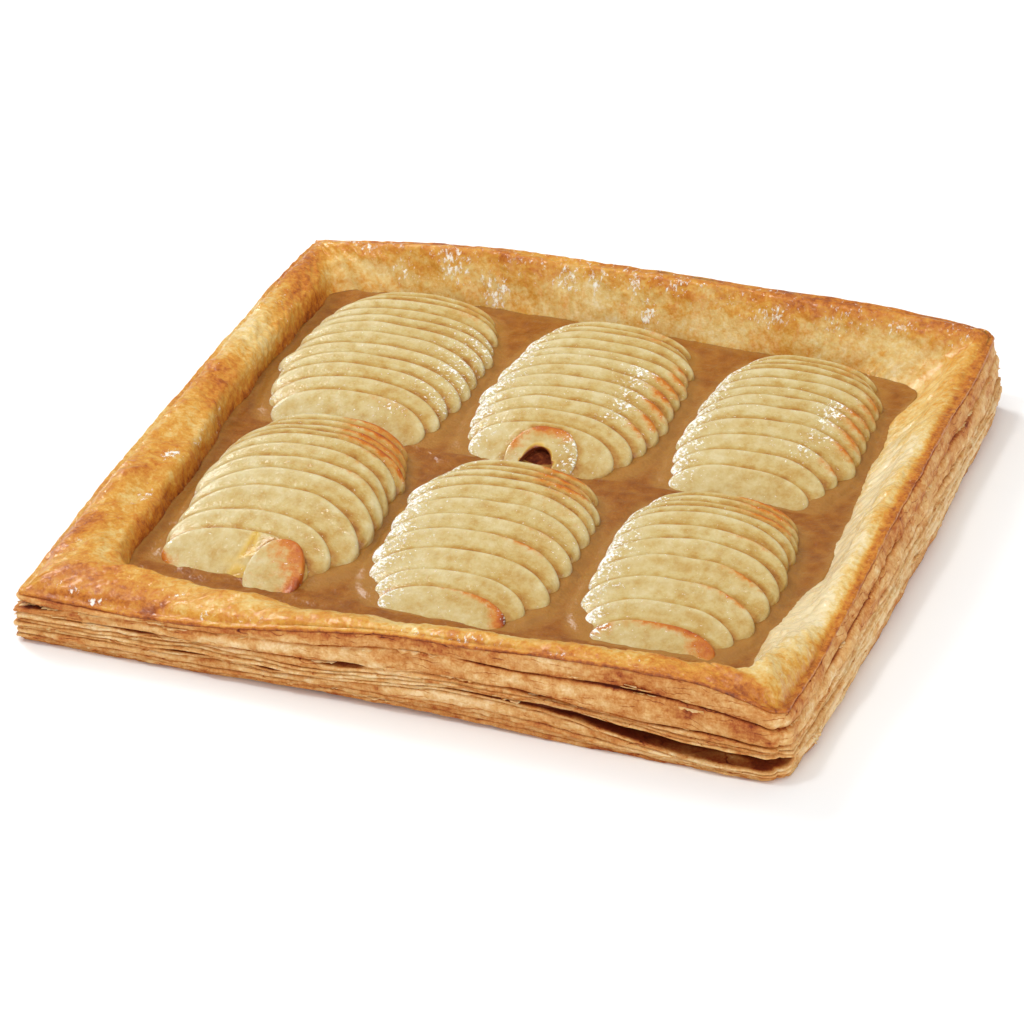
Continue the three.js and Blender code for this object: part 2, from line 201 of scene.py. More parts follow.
waver = 0.35 * wander(ALONG, 0, 8, 1, 54)
fine_line = LIFT + (EDGE_HEIGHT - LIFT) * smooth_keys(FINE_TOP, AROUND) + 0.4 * wander(ALONG, 0, 12, 1, 50)
split_line = EDGE_HEIGHT * smooth_keys(SPLIT, AROUND) + 0.5 * wander(ALONG, 0, 26, 1, 51) + waver
middle_line = EDGE_HEIGHT * smooth_keys(MIDDLE, AROUND) + 0.5 * wander(ALONG, 0, 23, 1, 52) - waver
under_border = EDGE_HEIGHT * smooth_keys(UNDER_BORDER, AROUND) + 0.4 * wander(ALONG, 0, 28, 1, 53)


def wall_inset(share):
    """The wall's line inside the footprint at a share of the edge's height, before any leaf's own relief."""
    spread = np.interp(share, [0, 0.1, 0.3, 0.52, 0.7, 0.86, 1], [0.85, 0.9, 1.0, 0.9, 0.7, 0.5, 0.3])
    return WOBBLE - spread * SWELL


class Sheet:
    """One sheet's cut side, built up row by row: each row has an inset, a height, how baked it is and its
    painted shade.
    """

    def __init__(self):
        self.insets, self.heights, self.toasts, self.crevices = [], [], [], []

    def row(self, out, height, toast, crevice=0.0):
        share = height / EDGE_HEIGHT
        for at, up, reach, reach_up, change in WALL_PATCHES:
            away = np.hypot(apart(AROUND, at) / reach, (share - up) / reach_up)
            toast = toast + change * hump(away, 0, 1.4)
        self.insets.append(np.maximum(wall_inset(share) - out, -OUTERMOST))
        self.heights.append(height + 0 * AROUND)
        self.toasts.append(toast + 0 * AROUND)
        self.crevices.append(crevice + 0 * AROUND)

    def hidden(self, inset, height):
        """A row inside the case, which closes the ring."""
        self.insets.append(inset + 0 * AROUND)
        self.heights.append(height + 0 * AROUND)
        self.toasts.append(0.5 + 0 * AROUND)
        self.crevices.append(0 * AROUND)

    def band(self, low, high, rows, out, crown, tone, seed):
        """The puffed face of a bundle of leaves between two lines, with lumps, upright wrinkles and a lip."""
        wave = 0.7 * wander(ALONG, 0, 30, 1, seed) + 0.4 * wander(ALONG, 0, 8, 1, seed + 1)
        ragged = np.clip(1.3 * wander(ALONG, 0, 4.5, 1, seed + 2), 0, 1)
        for step in range(rows):
            q = (step + 0.35) / (rows - 0.3)
            height = low + (high - low) * q
            inner = 1 - abs(2 * q - 1) ** 3
            lumps = 0.55 * wander(ALONG, height, 14, 6, seed + 3)
            lumps += 0.3 * wander(ALONG, height, 5, 3.5, seed + 4)
            fold = np.clip(1 - np.abs(wander(ALONG + 0.6 * height, height, 2.8, 7, seed + 5)) / 0.3, 0, 1)
            fold = fold * np.clip(0.45 + wander(ALONG, height, 12, 5, seed + 7), 0, 1)
            crumb = 0.15 * wander(ALONG, height, 1.5, 1.1, seed + 6)
            lip = (0.3 + 0.7 * ragged) * max(0, 1 - 4.5 * q)
            swell = crown * inner + (lumps - 0.4 * fold) * inner * min(1, crown + 0.35)
            patches = 0.13 * wander(ALONG, height, 11, 4, seed + 8)
            patches += 0.1 * wander(ALONG, height, 4, 2.4, seed + 9)
            # The face is painted darker in the upright wrinkles, as shade in their creases, paler on the
            # lumps and darker towards its lines.
            self.row(out + wave + swell + crumb + lip, height,
                     tone + patches + 0.16 * fold - 0.14 * lumps + 0.1 * abs(2 * q - 1) ** 4)

    def line(self, at, gape, deep, tone, seed):
        """The groove between two bands, darker with browner toast and painted shade in its depth, which fades
        out and comes back along the wall.
        """
        strength = np.clip(0.62 + 0.9 * wander(ALONG, 0, 24, 1, seed) + gape - 0.3, 0.08, 1.1)
        self.row(-0.15 * deep * strength, at - gape / 2 - 0.12, tone + 0.3 * strength, 0.45 * strength)
        self.row(-deep * strength, at - gape * 0.3, tone + 0.5 * strength, strength)
        self.row(-deep * strength, at + gape * 0.3, tone + 0.5 * strength, strength)
        self.row(-0.15 * deep * strength, at + gape / 2 + 0.12, tone + 0.3 * strength, 0.45 * strength)


base = Sheet()
base.hidden(26, 0)
base.hidden(9, 0)
base.row(-2.4, 0.6 * LIFT, 0.6)
foot = LIFT + 0.15
leaf_high = (fine_line - foot) / 3
for leaf, (out, tone) in enumerate(((-0.5, 0.5), (0.3, 0.42), (0.7, 0.4))):
    base.band(foot, foot + leaf_high - 0.1, 4, out, 0.15, tone, 1000 + 20 * leaf)
    base.row(out - 1.0, foot + leaf_high, tone + 0.28, 0.55)
    foot = foot + leaf_high
top_leaf = split_line - GAPE / 2
base.band(fine_line + 0.1, top_leaf - 1.3, 8, 0.4, 1.0, 0.3, 1100)
base.line(top_leaf - 1.15, 0.2 + 0 * AROUND, 1.0, 0.34, 1115)
base.band(top_leaf - 0.95, top_leaf - 0.1, 3, 1.2, 0.1, 0.3, 1120)
# Into the gaping split the rows turn browner and darker with painted shade the deeper they lie.
for reach, rise in ((0.15, 0.0), (0.45, 0.06), (0.8, 0.1), (1.0, 0.12)):
    pitted = 0.5 * wander(ALONG, 9 * reach, 4, 3, 1130) * np.clip(GAPE, 0, 1)
    streaks = 0.35 * wander(ALONG, 9 * reach, 24, 2, 1131) + 0.25 * wander(ALONG, 7 * reach, 7, 2, 1132)
    base.row(1.0 - (GAPE_DEPTH + 2) * reach + pitted * reach, top_leaf + rise * GAPE,
             0.74 + 0.3 * reach + streaks, np.clip(0.66 + 0.6 * reach + 1.5 * streaks, 0, 1))
base.hidden(22, 8)
base.hidden(27, 4)

border = Sheet()
lip_leaf = split_line + GAPE / 2
for strip in range(7):
    # The torn leaves inside the split show as stripes, every other one browner and darker with painted shade.
    share = strip / 6
    torn = (0.8 if strip % 2 else -0.5) + 2 * hump(share, 0, 0.5)
    torn = torn + 0.8 * wander(ALONG, 13 * strip, 6, 4, 1200)
    border.row(0.9 - GAPE_DEPTH + torn * np.clip(GAPE / 2, 0, 1), top_leaf + 0.02 + (GAPE - 0.04) * share,
               0.66 + 0.2 * (strip % 2) + 0.3 * wander(ALONG, 20 * strip, 16, 3, 1201),
               0.6 + 0.4 * (strip % 2))
# Out of the split the rows carry less painted shade the nearer the face they lie.
for reach in (0.7, 0.4, 0.12):
    border.row(1.2 - GAPE_DEPTH * reach, lip_leaf + 0.05, 0.42 + 0.4 * reach, reach)
border.band(lip_leaf + 0.1, lip_leaf + 1.1, 3, 1.4, 0.15, 0.3, 1220)
border.row(0.4, lip_leaf + 1.3, 0.66, 0.5)
border.band(lip_leaf + 1.4, lip_leaf + 2.4, 3, 1.0, 0.15, 0.36, 1240)
border.line(lip_leaf + 2.6, 0.2 + 0 * AROUND, 0.9, 0.4, 1255)
border.band(lip_leaf + 2.8, middle_line - SLOT / 2 - 0.2, 7, 0.4, 0.7, 0.34, 1260)
border.line(middle_line, SLOT, SLOT_DEPTH, 0.4, 1275)
border.band(middle_line + SLOT / 2 + 0.2, under_border - NOTCH / 2 - 0.2, 10, 0.5, 0.9, 0.36, 1280)
border.line(under_border, NOTCH, NOTCH_DEPTH, 0.45, 1295)
border.band(under_border + NOTCH / 2 + 0.2, EDGE_HEIGHT - 0.8, 9, 0.15, 0.7, 0.4, 1300)
# The top rows, under the rim's bead, are browner and darkened with painted shade.
border.row(-0.2, EDGE_HEIGHT - 0.75, 0.8, 0.6)
border.row(-1.2, EDGE_HEIGHT - 0.4, 1.0, 0.95)
border.hidden(6, 0.6 * EDGE_HEIGHT)
border.hidden(14, 14)
border.hidden(16, 9)


def lay(piece, x, y, z):
    """Puts every vertex of a piece at its place, in millimetres."""
    places = np.stack([x, y, z], axis=-1).reshape(-1, 3) * MM
    piece.data.vertices.foreach_set("co", places.ravel())
    piece.data.update()


def paint(piece, name, values):
    """Keeps one number a vertex with the mesh, for its material to read."""
    layer = piece.data.attributes.new(name, "FLOAT", "POINT")
    layer.data.foreach_set("value", np.asarray(values, np.float32).ravel())


def vertex_places(piece):
    """Where every vertex of a piece lies, a row of three numbers each."""
    places = np.zeros(len(piece.data.vertices) * 3)
    piece.data.vertices.foreach_get("co", places)
    return places.reshape(-1, 3)


def new_grid(columns, rows):
    """A flat sheet of that many cells, and the column and row of every vertex."""
    bpy.ops.object.select_all(action="DESELECT")
    bpy.ops.mesh.primitive_grid_add(x_subdivisions=columns, y_subdivisions=rows, size=2)
    sheet = bpy.context.object
    places = (vertex_places(sheet) + 1) / 2
    return sheet, np.rint(places[:, 0] * columns).astype(int), np.rint(places[:, 1] * rows).astype(int)


def dough_ring(name, x, y, z, **marks):
    """A closed ring of dough: a sheet that is rolled into a tube and laid all round the case."""
    stations, rows = z.shape
    ring, column, row = new_grid(stations, rows)
    column, row = column % stations, row % rows
    ring.name = ring.data.name = name
    lay(ring, x[column, row], y[column, row], z[column, row])
    for mark, values in marks.items():
        paint(ring, mark, values[column, row])
    bpy.ops.object.mode_set(mode="EDIT")
    bpy.ops.mesh.select_all(action="SELECT")
    bpy.ops.mesh.remove_doubles(threshold=1e-7)
    bpy.ops.object.mode_set(mode="OBJECT")
    bpy.ops.object.shade_smooth()
    return ring


def tint(red, green, blue):
    """A colour as a screen shows it, as the linear light that a shader takes."""
    return tuple((v / 12.92 if v <= 0.04045 else ((v + 0.055) / 1.055) ** 2.4) for v in
                 (red / 255, green / 255, blue / 255)) + (1,)


class Finish:
    """A material and the nodes it is made of, each joined to the next as it is added."""

    def __init__(self, name, roughness, **settings):
        self.material = bpy.data.materials.new(name)
        self.material.use_nodes = True
        self.tree = self.material.node_tree
        self.shader = self.tree.nodes["Principled BSDF"]
        self.shader.inputs["Roughness"].default_value = roughness
        for socket, value in settings.items():
            self.shader.inputs[socket.replace("_", " ")].default_value = value
        self.place = self.tree.nodes.new("ShaderNodeTexCoord").outputs["Object"]

    def join(self, value, socket):
        """Feeds a socket from another one, or sets it to a value."""
        if isinstance(value, bpy.types.NodeSocket):
            self.tree.links.new(value, socket)
        else:
            socket.default_value = value

    def painted(self, name):
        """The number that was painted on the mesh under that name."""
        node = self.tree.nodes.new("ShaderNodeAttribute")
        node.attribute_name = name
        return node.outputs["Fac"]

    def stretched(self, scale):
        """The place on the piece, scaled along each axis."""
        node = self.tree.nodes.new("ShaderNodeMapping")
        node.inputs["Scale"].default_value = scale
        self.join(self.place, node.inputs["Vector"])
        return node.outputs["Vector"]

    def grain(self, size, detail=3, rough=0.55, scale=(1, 1, 1), warp=0.0):
        """Cloudy noise with features of about the given size in millimetres, from 0 to 1."""
        node = self.tree.nodes.new("ShaderNodeTexNoise")
        self.join(self.stretched(scale), node.inputs["Vector"])
        node.inputs["Scale"].default_value = 1 / (size * MM)
        node.inputs["Detail"].default_value = detail
        node.inputs["Roughness"].default_value = rough
        node.inputs["Distortion"].default_value = warp
        return node.outputs["Fac"]

    def cells(self, size, scale):
        """Distance to scattered points that lie about the given size in millimetres apart."""
        node = self.tree.nodes.new("ShaderNodeTexVoronoi")
        self.join(self.stretched(scale), node.inputs["Vector"])
        node.inputs["Scale"].default_value = 1 / (size * MM)
        return node.outputs["Distance"]

    def leaf_lines(self, spacing, slack, width):
        """Lines that run along the leaves, one every so many millimetres of height, wavering by the slack."""
        height = self.tree.nodes.new("ShaderNodeSeparateXYZ")
        self.join(self.place, height.inputs["Vector"])
        level = self.sum(height.outputs["Z"], 1 / (spacing * MM), "MULTIPLY")
        waver = self.sum(self.grain(16, 3, 0.55, (1, 1, 0.3)), slack / spacing, "MULTIPLY")
        share = self.sum(self.sum(level, waver), 0, "FRACT")
        return self.ranged(self.sum(self.sum(share, -0.5), 0, "ABSOLUTE"), 0.5 - width / spacing / 2, 0.5)

    def sum(self, a, b, operation="ADD", clamp=False):
        node = self.tree.nodes.new("ShaderNodeMath")
        node.operation = operation
        node.use_clamp = clamp
        self.join(a, node.inputs[0])
        self.join(b, node.inputs[1])
        return node.outputs[0]

    def ranged(self, value, low, high, new_low=0.0, new_high=1.0):
        """A value between low and high, carried to between the new low and high."""
        node = self.tree.nodes.new("ShaderNodeMapRange")
        self.join(value, node.inputs["Value"])
        ends = {"From Min": low, "From Max": high, "To Min": new_low, "To Max": new_high}
        for socket, number in ends.items():
            node.inputs[socket].default_value = number
        return node.outputs["Result"]

    def ramp(self, value, stops):
        """A colour for a value, from stops that each hold a value and a colour as a screen shows it."""
        node = self.tree.nodes.new("ShaderNodeValToRGB")
        self.join(value, node.inputs["Fac"])
        elements = node.color_ramp.elements
        while len(elements) < len(stops):
            elements.new(0.5)
        for element, (at, colour) in zip(elements, stops):
            element.position = at
            element.color = tint(*colour)
        return node.outputs["Color"]

    def blend(self, share, a, b):
        """Colour a at a share of 0, passing into colour b at 1."""
        node = self.tree.nodes.new("ShaderNodeMix")
        node.data_type = "RGBA"
        self.join(share, node.inputs["Factor"])
        self.join(a, node.inputs[6])
        self.join(b, node.inputs[7])
        return node.outputs[2]

    def bump(self, height, strength, distance):
        """Relief too fine for the mesh, distance in millimetres; a second call lies on top of the first."""
        node = self.tree.nodes.new("ShaderNodeBump")
        node.inputs["Strength"].default_value = strength
        node.inputs["Distance"].default_value = distance * MM
        self.join(height, node.inputs["Height"])
        if self.shader.inputs["Normal"].is_linked:
            self.join(self.shader.inputs["Normal"].links[0].from_socket, node.inputs["Normal"])
        self.join(node.outputs["Normal"], self.shader.inputs["Normal"])
        self.join(node.outputs["Normal"], self.shader.inputs["Coat Normal"])

    def colour(self, value):
        self.join(value, self.shader.inputs["Base Color"])


leafy = Finish("layered_pastry", 0.55, Subsurface_Weight=0.18, Subsurface_Scale=0.0015,
               Subsurface_Radius=(1.0, 0.5, 0.2), Specular_IOR_Level=0.15)
mottle = leafy.grain(3.6, 4, 0.6, (1, 1, 1.3), 0.3)
pores = leafy.grain(0.9, 3, 0.6)
scales = leafy.cells(2.4, (0.6, 0.6, 1.9))
wrinkles = leafy.grain(1.5, 2, 0.55, (1.6, 1.6, 0.4))
fine_leaves = leafy.ranged(leafy.grain(9, 3, 0.6, (1, 1, 1.6)), 0.5, 0.6)
fine_leaves = leafy.sum(leafy.leaf_lines(2.7, 10, 0.42), fine_leaves, "MULTIPLY")
tone = leafy.sum(leafy.painted("toast"), leafy.ranged(mottle, 0.3, 0.7, -0.19, 0.13))
tone = leafy.sum(tone, leafy.ranged(wrinkles, 0.3, 0.7, -0.04, 0.04))
tone = leafy.sum(tone, leafy.ranged(pores, 0.3, 0.7, -0.09, 0.08))
tone = leafy.sum(tone, leafy.ranged(scales, 0.1, 0.7, -0.03, 0.06))
tone = leafy.sum(tone, leafy.sum(fine_leaves, 0.42, "MULTIPLY"), clamp=True)
leaf_colour = leafy.ramp(tone, ((0.0, (234, 204, 156)), (0.26, (216, 168, 106)), (0.5, (196, 130, 66)),
                                (0.72, (168, 88, 40)), (0.88, (126, 56, 27)), (1.0, (88, 34, 19))))
# Painted shade: rows painted with crevice shade pass into a deep brown.
depth = leafy.ranged(leafy.painted("crevice"), 0.3, 1.0, 0, 0.88)
leafy.colour(leafy.blend(depth, leaf_colour, tint(108, 42, 21)))
leafy.bump(leafy.grain(1.0, 4, 0.65, (0.8, 0.8, 1.1)), 0.45, 0.45)
leafy.bump(wrinkles, 0.35, 0.3)
leafy.bump(leafy.sum(1, scales, "SUBTRACT"), 0.3, 0.4)
leafy.bump(leafy.sum(1, fine_leaves, "SUBTRACT"), 0.5, 0.3)

for name, sheet in (("pastry_base", base), ("pastry_border", border)):
    height = np.maximum(np.stack(sheet.heights, axis=1), 0)
    x, y = ring_place(AROUND[:, None], np.stack(sheet.insets, axis=1), 0)
    ring = dough_ring(name, x, y, height, toast=np.stack(sheet.toasts, axis=1),
                      crevice=np.clip(np.stack(sheet.crevices, axis=1), 0, 1))
    ring.data.materials.append(leafy.material)
    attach(ring, "root")
    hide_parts("pastry_case")

# ------------------------------------------------------------------------------------ the case's glazed rim
# The top of the border, brushed with egg and glaze: a thin skin that starts in a browned bead at the cut
# edge, swells in blisters to its crest and runs down in fine wrinkles to the compote.

COMPOTE_TOP = 16
SILL_TOP = 16.6
SKIN_FOOT = 13.6
CREST_HEIGHTS = [28, 27, 27, 28, 30.5, 33.6, 36, 37.7, 38.4, 38.6,
                 38.2, 34, 30, 31, 33, 34.2, 34.5, 33.6, 32, 32.5,
                 34.5, 37.6, 39.1, 39.1, 38.9, 38.6, 38.3, 37.6, 35.5, 32,
                 27.8, 29, 30.3, 30.6, 30.3, 29.9, 29.3, 28.4, 27.5, 27.5]
CREST_INSET = [19, 17, 8.5, 6.5, 8, 11.5, 6.5, 5, 5, 5, 5, 5, 5, 5, 5.5, 6, 8, 8, 8, 10]
BORDER_WIDTH = [27, 28, 28.5, 28.5, 27, 25, 24.5, 19, 21.5, 25,
                23, 16.5, 16, 14.5, 15.5, 17.5, 18, 18, 23, 25]
SLOPE_ALONG = [0.6, 0.5, 0.5, 0.84]
SLOPE_DOWN = [0.45, 0.46, 0.4, 0.3]
SKIN_ROWS = 42
BEAD = 0.9
BLISTERS = 190
# A crest above this height has settled flatter than its blisters.
SETTLED_ABOVE = 38.3

CREST = smooth_keys(CREST_INSET, AROUND)
CREST_HEIGHT = smooth_keys(CREST_HEIGHTS, AROUND) + 0.4 * ripple(AROUND, 29, (12, 21))
BORDER = smooth_keys(BORDER_WIDTH, AROUND) + 1.1 * ripple(AROUND, 8, (11, 19, 27))

# How brown the skin is at the cut edge, at its crest, halfway down and at the compote, and in each of these
# on the front, right, back and left side. On the left the drop to the compote is painted dark, partly
# browner glaze and partly painted shade; on the right the slope that faces the light is painted pale,
# partly its own colour and partly painted light.
SKIN_TOAST = [[0.56, 0.6, 0.6, 0.48], [0.44, 0.12, 0.52, 0.5],
              [0.38, 0.02, 0.34, 0.44], [0.4, 0.12, 0.34, 0.86]]
# Places round the case, shares of the way in, reaches in both, and how much browner or paler they are.
SKIN_PATCHES = [
    (0.05, 0.3, 0.1, 0.5, 0.2), (0.14, 0.2, 0.1, 0.3, 0.1), (0.2, 0.12, 0.02, 0.16, 0.26),
    (0.22, 0.5, 0.12, 0.4, 0.05), (0.3, 0.45, 0.05, 0.2, -0.12), (0.5, 0.4, 0.2, 0.5, -0.08),
    (0.72, 0.4, 0.12, 0.4, -0.04), (0.9, 0.25, 0.09, 0.4, 0.14), (0.97, 0.22, 0.04, 0.3, 0.16),
    (1.04, 0.2, 0.05, 0.25, 0.16), (1.08, 0.35, 0.03, 0.14, 0.12), (1.3, 0.6, 0.3, 0.5, -0.12),
    (1.86, 0.45, 0.16, 0.6, 0.3), (2.0, 0.3, 0.08, 0.7, 0.18), (2.06, 0.12, 0.1, 0.3, 0.12),
    (2.3, 0.1, 0.2, 0.3, 0.1), (2.55, 0.5, 0.1, 0.5, -0.08), (2.8, 0.15, 0.1, 0.3, 0.1),
    (3.02, 0.4, 0.08, 0.5, 0.06), (3.12, 0.35, 0.07, 0.5, 0.22), (3.3, 0.4, 0.1, 0.5, -0.24),
    (3.47, 0.45, 0.06, 0.4, 0.16), (3.7, 0.3, 0.1, 0.5, 0.05), (3.86, 0.4, 0.06, 0.4, 0.16),
]
# Painted highlights: where white glints stand on the glaze, given the same way.
SKIN_GLINTS = [
    (0.06, 0.22, 0.012, 0.1, 0.6), (0.09, 0.2, 0.012, 0.06, 0.9), (0.128, 0.13, 0.014, 0.06, 1.1),
    (0.2, 0.4, 0.01, 0.05, 0.8), (0.17, 0.45, 0.01, 0.05, 0.6), (0.27, 0.17, 0.012, 0.06, 0.7),
    (0.32, 0.16, 0.02, 0.06, 0.6), (0.6, 0.12, 0.08, 0.06, 0.6), (0.72, 0.08, 0.02, 0.06, 0.8),
    (1.09, 0.82, 0.02, 0.1, 1.0), (1.4, 0.95, 0.2, 0.08, 0.6), (1.75, 0.95, 0.05, 0.08, 0.7),
    (1.3, 0.6, 0.35, 0.35, 0.3),
    (2.03, 0.2, 0.05, 0.25, 0.6), (2.12, 0.35, 0.03, 0.12, 0.8), (2.3, 0.5, 0.04, 0.2, 0.8),
    (2.2, 0.4, 0.05, 0.3, 0.6), (2.45, 0.3, 0.03, 0.2, 0.8), (2.48, 0.72, 0.02, 0.25, 0.9),
    (2.505, 0.35, 0.012, 0.35, 0.9), (2.56, 0.42, 0.018, 0.22, 0.85), (2.6, 0.42, 0.025, 0.28, 0.9),
    (2.715, 0.72, 0.03, 0.3, 0.95), (2.775, 0.45, 0.035, 0.3, 0.95), (2.85, 0.6, 0.04, 0.2, 0.6),
    (2.9, 0.3, 0.03, 0.2, 0.7), (2.55, 0.25, 0.5, 0.4, 0.42), (3.2, 0.5, 0.03, 0.2, 0.5),
    (3.66, 0.55, 0.02, 0.1, 1.1), (3.6, 0.7, 0.03, 0.1, 0.7), (3.78, 0.6, 0.03, 0.1, 0.8),
    (3.5, 0.75, 0.03, 0.1, 0.6), (3.9, 0.35, 0.03, 0.1, 0.4),
]
# The corner at the front right has puffed into deep folds.
FOLDED_CORNER = 0.965


def through(keys, t):
    """The smooth curve through keys from 0 to 1, each one number or one array."""
    last = len(keys) - 1
    i = min(int(t * last), last - 1)
    t = t * last - i
    before = keys[i - 1] if i > 0 else 2 * keys[0] - keys[1]
    after = keys[i + 2] if i + 2 <= last else 2 * keys[last] - keys[last - 1]
    a, b, c, d = before, keys[i], keys[i + 1], after
    return b + 0.5 * t * (c - a + t * (2 * a - 5 * b + 4 * c - d + t * (3 * (b - c) + d - a)))


edge = wall_inset(1 + 0 * AROUND)
insets, heights = [], []
for angle in (-75, -35, 5, 48, 88):
    insets.append(edge + 0.5 - BEAD * math.cos(math.radians(angle)))
    heights.append(EDGE_HEIGHT - 0.3 + BEAD * math.sin(math.radians(angle)))
brow = side_value(SLOPE_ALONG, AROUND)
brow_drop = side_value(SLOPE_DOWN, AROUND)
inset_keys = [edge + 1.7, np.maximum(CREST * 0.4, edge + 2.6), CREST, CREST + (BORDER - CREST) * brow * 0.55,
              CREST + (BORDER - CREST) * brow, BORDER, BORDER + 1.6]
height_keys = [EDGE_HEIGHT + 0.3, EDGE_HEIGHT * 0.25 + CREST_HEIGHT * 0.75, CREST_HEIGHT,
               CREST_HEIGHT - (CREST_HEIGHT - COMPOTE_TOP) * brow_drop * 0.42,
               CREST_HEIGHT - (CREST_HEIGHT - COMPOTE_TOP) * brow_drop,
               SILL_TOP + 0 * AROUND, SKIN_FOOT + 0 * AROUND]
for row in range(SKIN_ROWS):
    insets.append(through(inset_keys, row / (SKIN_ROWS - 1)))
    heights.append(through(height_keys, row / (SKIN_ROWS - 1)))
skin_inset, skin_height = np.stack(insets, axis=1), np.stack(heights, axis=1)

# The relief stands on the skin along its own normal. It fades out at the bead.
run_in, run_up = np.gradient(skin_inset, axis=1), np.gradient(skin_height, axis=1)
slant = np.hypot(run_in, run_up)
travelled = np.cumsum(slant, axis=1)
inward = travelled / travelled[:, -1:]
along = ALONG[:, None] + 0 * travelled
around = AROUND[:, None]
folds = hump(apart(around, FOLDED_CORNER), 0, 0.13) * np.clip((travelled - 1.5) / 3, 0, 1)
relief = 0.8 * wander(along, travelled, 26, 12, 601) + 0.45 * wander(along, travelled, 9, 6.5, 602)
relief += 0.17 * wander(along, travelled, 3.6, 3.2, 603)
relief += (0.06 + 0.05 * inward) * wander(along + 0.5 * travelled, travelled, 3, 13, 604)
relief += 0.12 * wander(along, travelled, 1.5, 1.5, 606)
relief += folds * (0.9 * wander(along + travelled, travelled, 5.5, 16, 605))
relief += folds * 0.4 * wander(along, travelled, 2.6, 5, 609)
draw = np.random.default_rng(7)
for _ in range(BLISTERS):
    at, deep = draw.uniform(0, 4), draw.uniform(0.12, 0.85)
    wide, tall = draw.uniform(1.4, 5.5), draw.uniform(0.25, 0.75)
    away = np.hypot(apart(around, at) * SIDE, (inward - deep) * travelled[:, -1:])
    relief += tall * hump(away, 0, wide)
fade = np.clip((travelled - 2.6) / 2.6, 0, 1) * np.clip((1 - inward) / 0.12, 0, 1)
relief = relief * fade + 0.2 * wander(along, travelled, 2.6, 2, 607)
relief += 0.3 * wander(along, 0 * travelled, 9, 2, 608)
skin_inset = skin_inset - run_up / slant * relief
skin_height = skin_height + run_in / slant * relief
skin_height = np.minimum(skin_height, SETTLED_ABOVE + 0.4 * (skin_height - SETTLED_ABOVE))

# The underside lies inside the case and closes the skin.
underside = [(BORDER - 1.5, 12 + 0 * AROUND), (CREST * 0.5 + BORDER * 0.5, 14 + 0 * AROUND),
             (CREST, EDGE_HEIGHT - 5), (edge + 3.2, EDGE_HEIGHT - 3.5), (edge + 1.6, EDGE_HEIGHT - 1.8)]
skin_inset = np.concatenate([skin_inset, np.stack([inset for inset, _ in underside], axis=1)], axis=1)
skin_height = np.concatenate([skin_height, np.stack([height for _, height in underside], axis=1)], axis=1)


def skin_spot(at, deep, reach, reach_in, spread):
    """1 at a place on the skin, falling to 0 where its reaches, times the spread, end."""
    return hump(np.hypot(apart(around, at) / reach, (inward - deep) / reach_in), 0, spread)


toast = sum(np.clip(1 - abs(inward * 3 - k), 0, 1) * side_value(values, around)
            for k, values in enumerate(SKIN_TOAST))
specks = 0 * inward
for *spot, change in SKIN_PATCHES:
    toast += change * skin_spot(*spot, 1.3)
for *spot, strength in SKIN_GLINTS:
    specks = np.maximum(specks, strength * skin_spot(*spot, 1.4))
toast += 0.1 * wander(along, travelled, 22, 9, 621) + 0.07 * wander(along, travelled, 7, 5, 622)
# Browner on the raised relief, and darker where the skin meets the compote, painted shade in that crease.
toast += 0.07 * np.clip(relief, -0.6, 1.2) + 0.22 * np.clip((inward - 0.9) / 0.1, 0, 1)
bead_width = side_value([1.5, 4.2, 1.6, 1.4], around)
bead = np.clip(1 - (travelled - bead_width) / (0.7 * bead_width), 0, 1)
toast = np.maximum(toast * (1 - bead), 0) + bead * side_value([0.88, 0.7, 0.68, 0.62], around)
padding = ((0, 0), (0, len(underside)))
# From 7 to 24 mm in, the corners turn from the outer wall's into the compote's.
rim_x, rim_y = ring_place(around, skin_inset, np.interp(skin_inset, [7, 24], [0, 1]))
rim = dough_ring("pastry_rim", rim_x, rim_y, skin_height, toast=np.pad(toast, padding, constant_values=0.4),
                 specks=np.pad(specks, padding))

glazed = Finish("glazed_pastry", 0.4, Subsurface_Weight=0.15, Subsurface_Scale=0.002,
                Subsurface_Radius=(1.0, 0.5, 0.2), Coat_Weight=0.55, Coat_Roughness=0.09, Coat_IOR=1.45,
                Specular_IOR_Level=0.08)
mottle = glazed.grain(3.6, 5, 0.65, warp=0.4)
freckles = glazed.grain(1.2, 3, 0.6)
tone = glazed.sum(glazed.painted("toast"), glazed.ranged(mottle, 0.3, 0.7, -0.2, 0.15))
tone = glazed.sum(tone, glazed.ranged(freckles, 0.35, 0.7, -0.06, 0.08), clamp=True)
skin_colour = glazed.ramp(tone, ((0.0, (230, 212, 168)), (0.22, (220, 188, 118)), (0.45, (208, 150, 60)),
                                 (0.65, (192, 116, 38)), (0.82, (156, 80, 28)), (1.0, (98, 44, 20))))
# Painted highlights: white glints where the noise peaks, many more where glints were painted on the mesh.
painted_glints = glazed.sum(glazed.grain(2.0, 5, 0.68, (1.2, 0.8, 0.8)),
                      glazed.sum(glazed.painted("specks"), 0.22, "MULTIPLY"))
painted_glints = glazed.ranged(painted_glints, 0.67, 0.77, 0, 0.88)
glazed.colour(glazed.blend(painted_glints, skin_colour, tint(255, 252, 242)))
glazed.bump(glazed.grain(2.6, 3, 0.55, warp=0.2), 0.6, 0.7)
glazed.bump(glazed.grain(0.9, 2, 0.5), 0.45, 0.3)
glazed.bump(painted_glints, 0.6, 0.3)
rim.data.materials.append(glazed.material)

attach(rim, "root")
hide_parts("pastry_case")

# ---------------------------------------------------------------------------------- the flakes on the wall
# Leaves that have cracked and lifted off the cut side while the pastry puffed: paper-thin, wavy, hinged on
# the wall at one edge and free at the other. Crumpled scraps of dough hang in the two open splits.

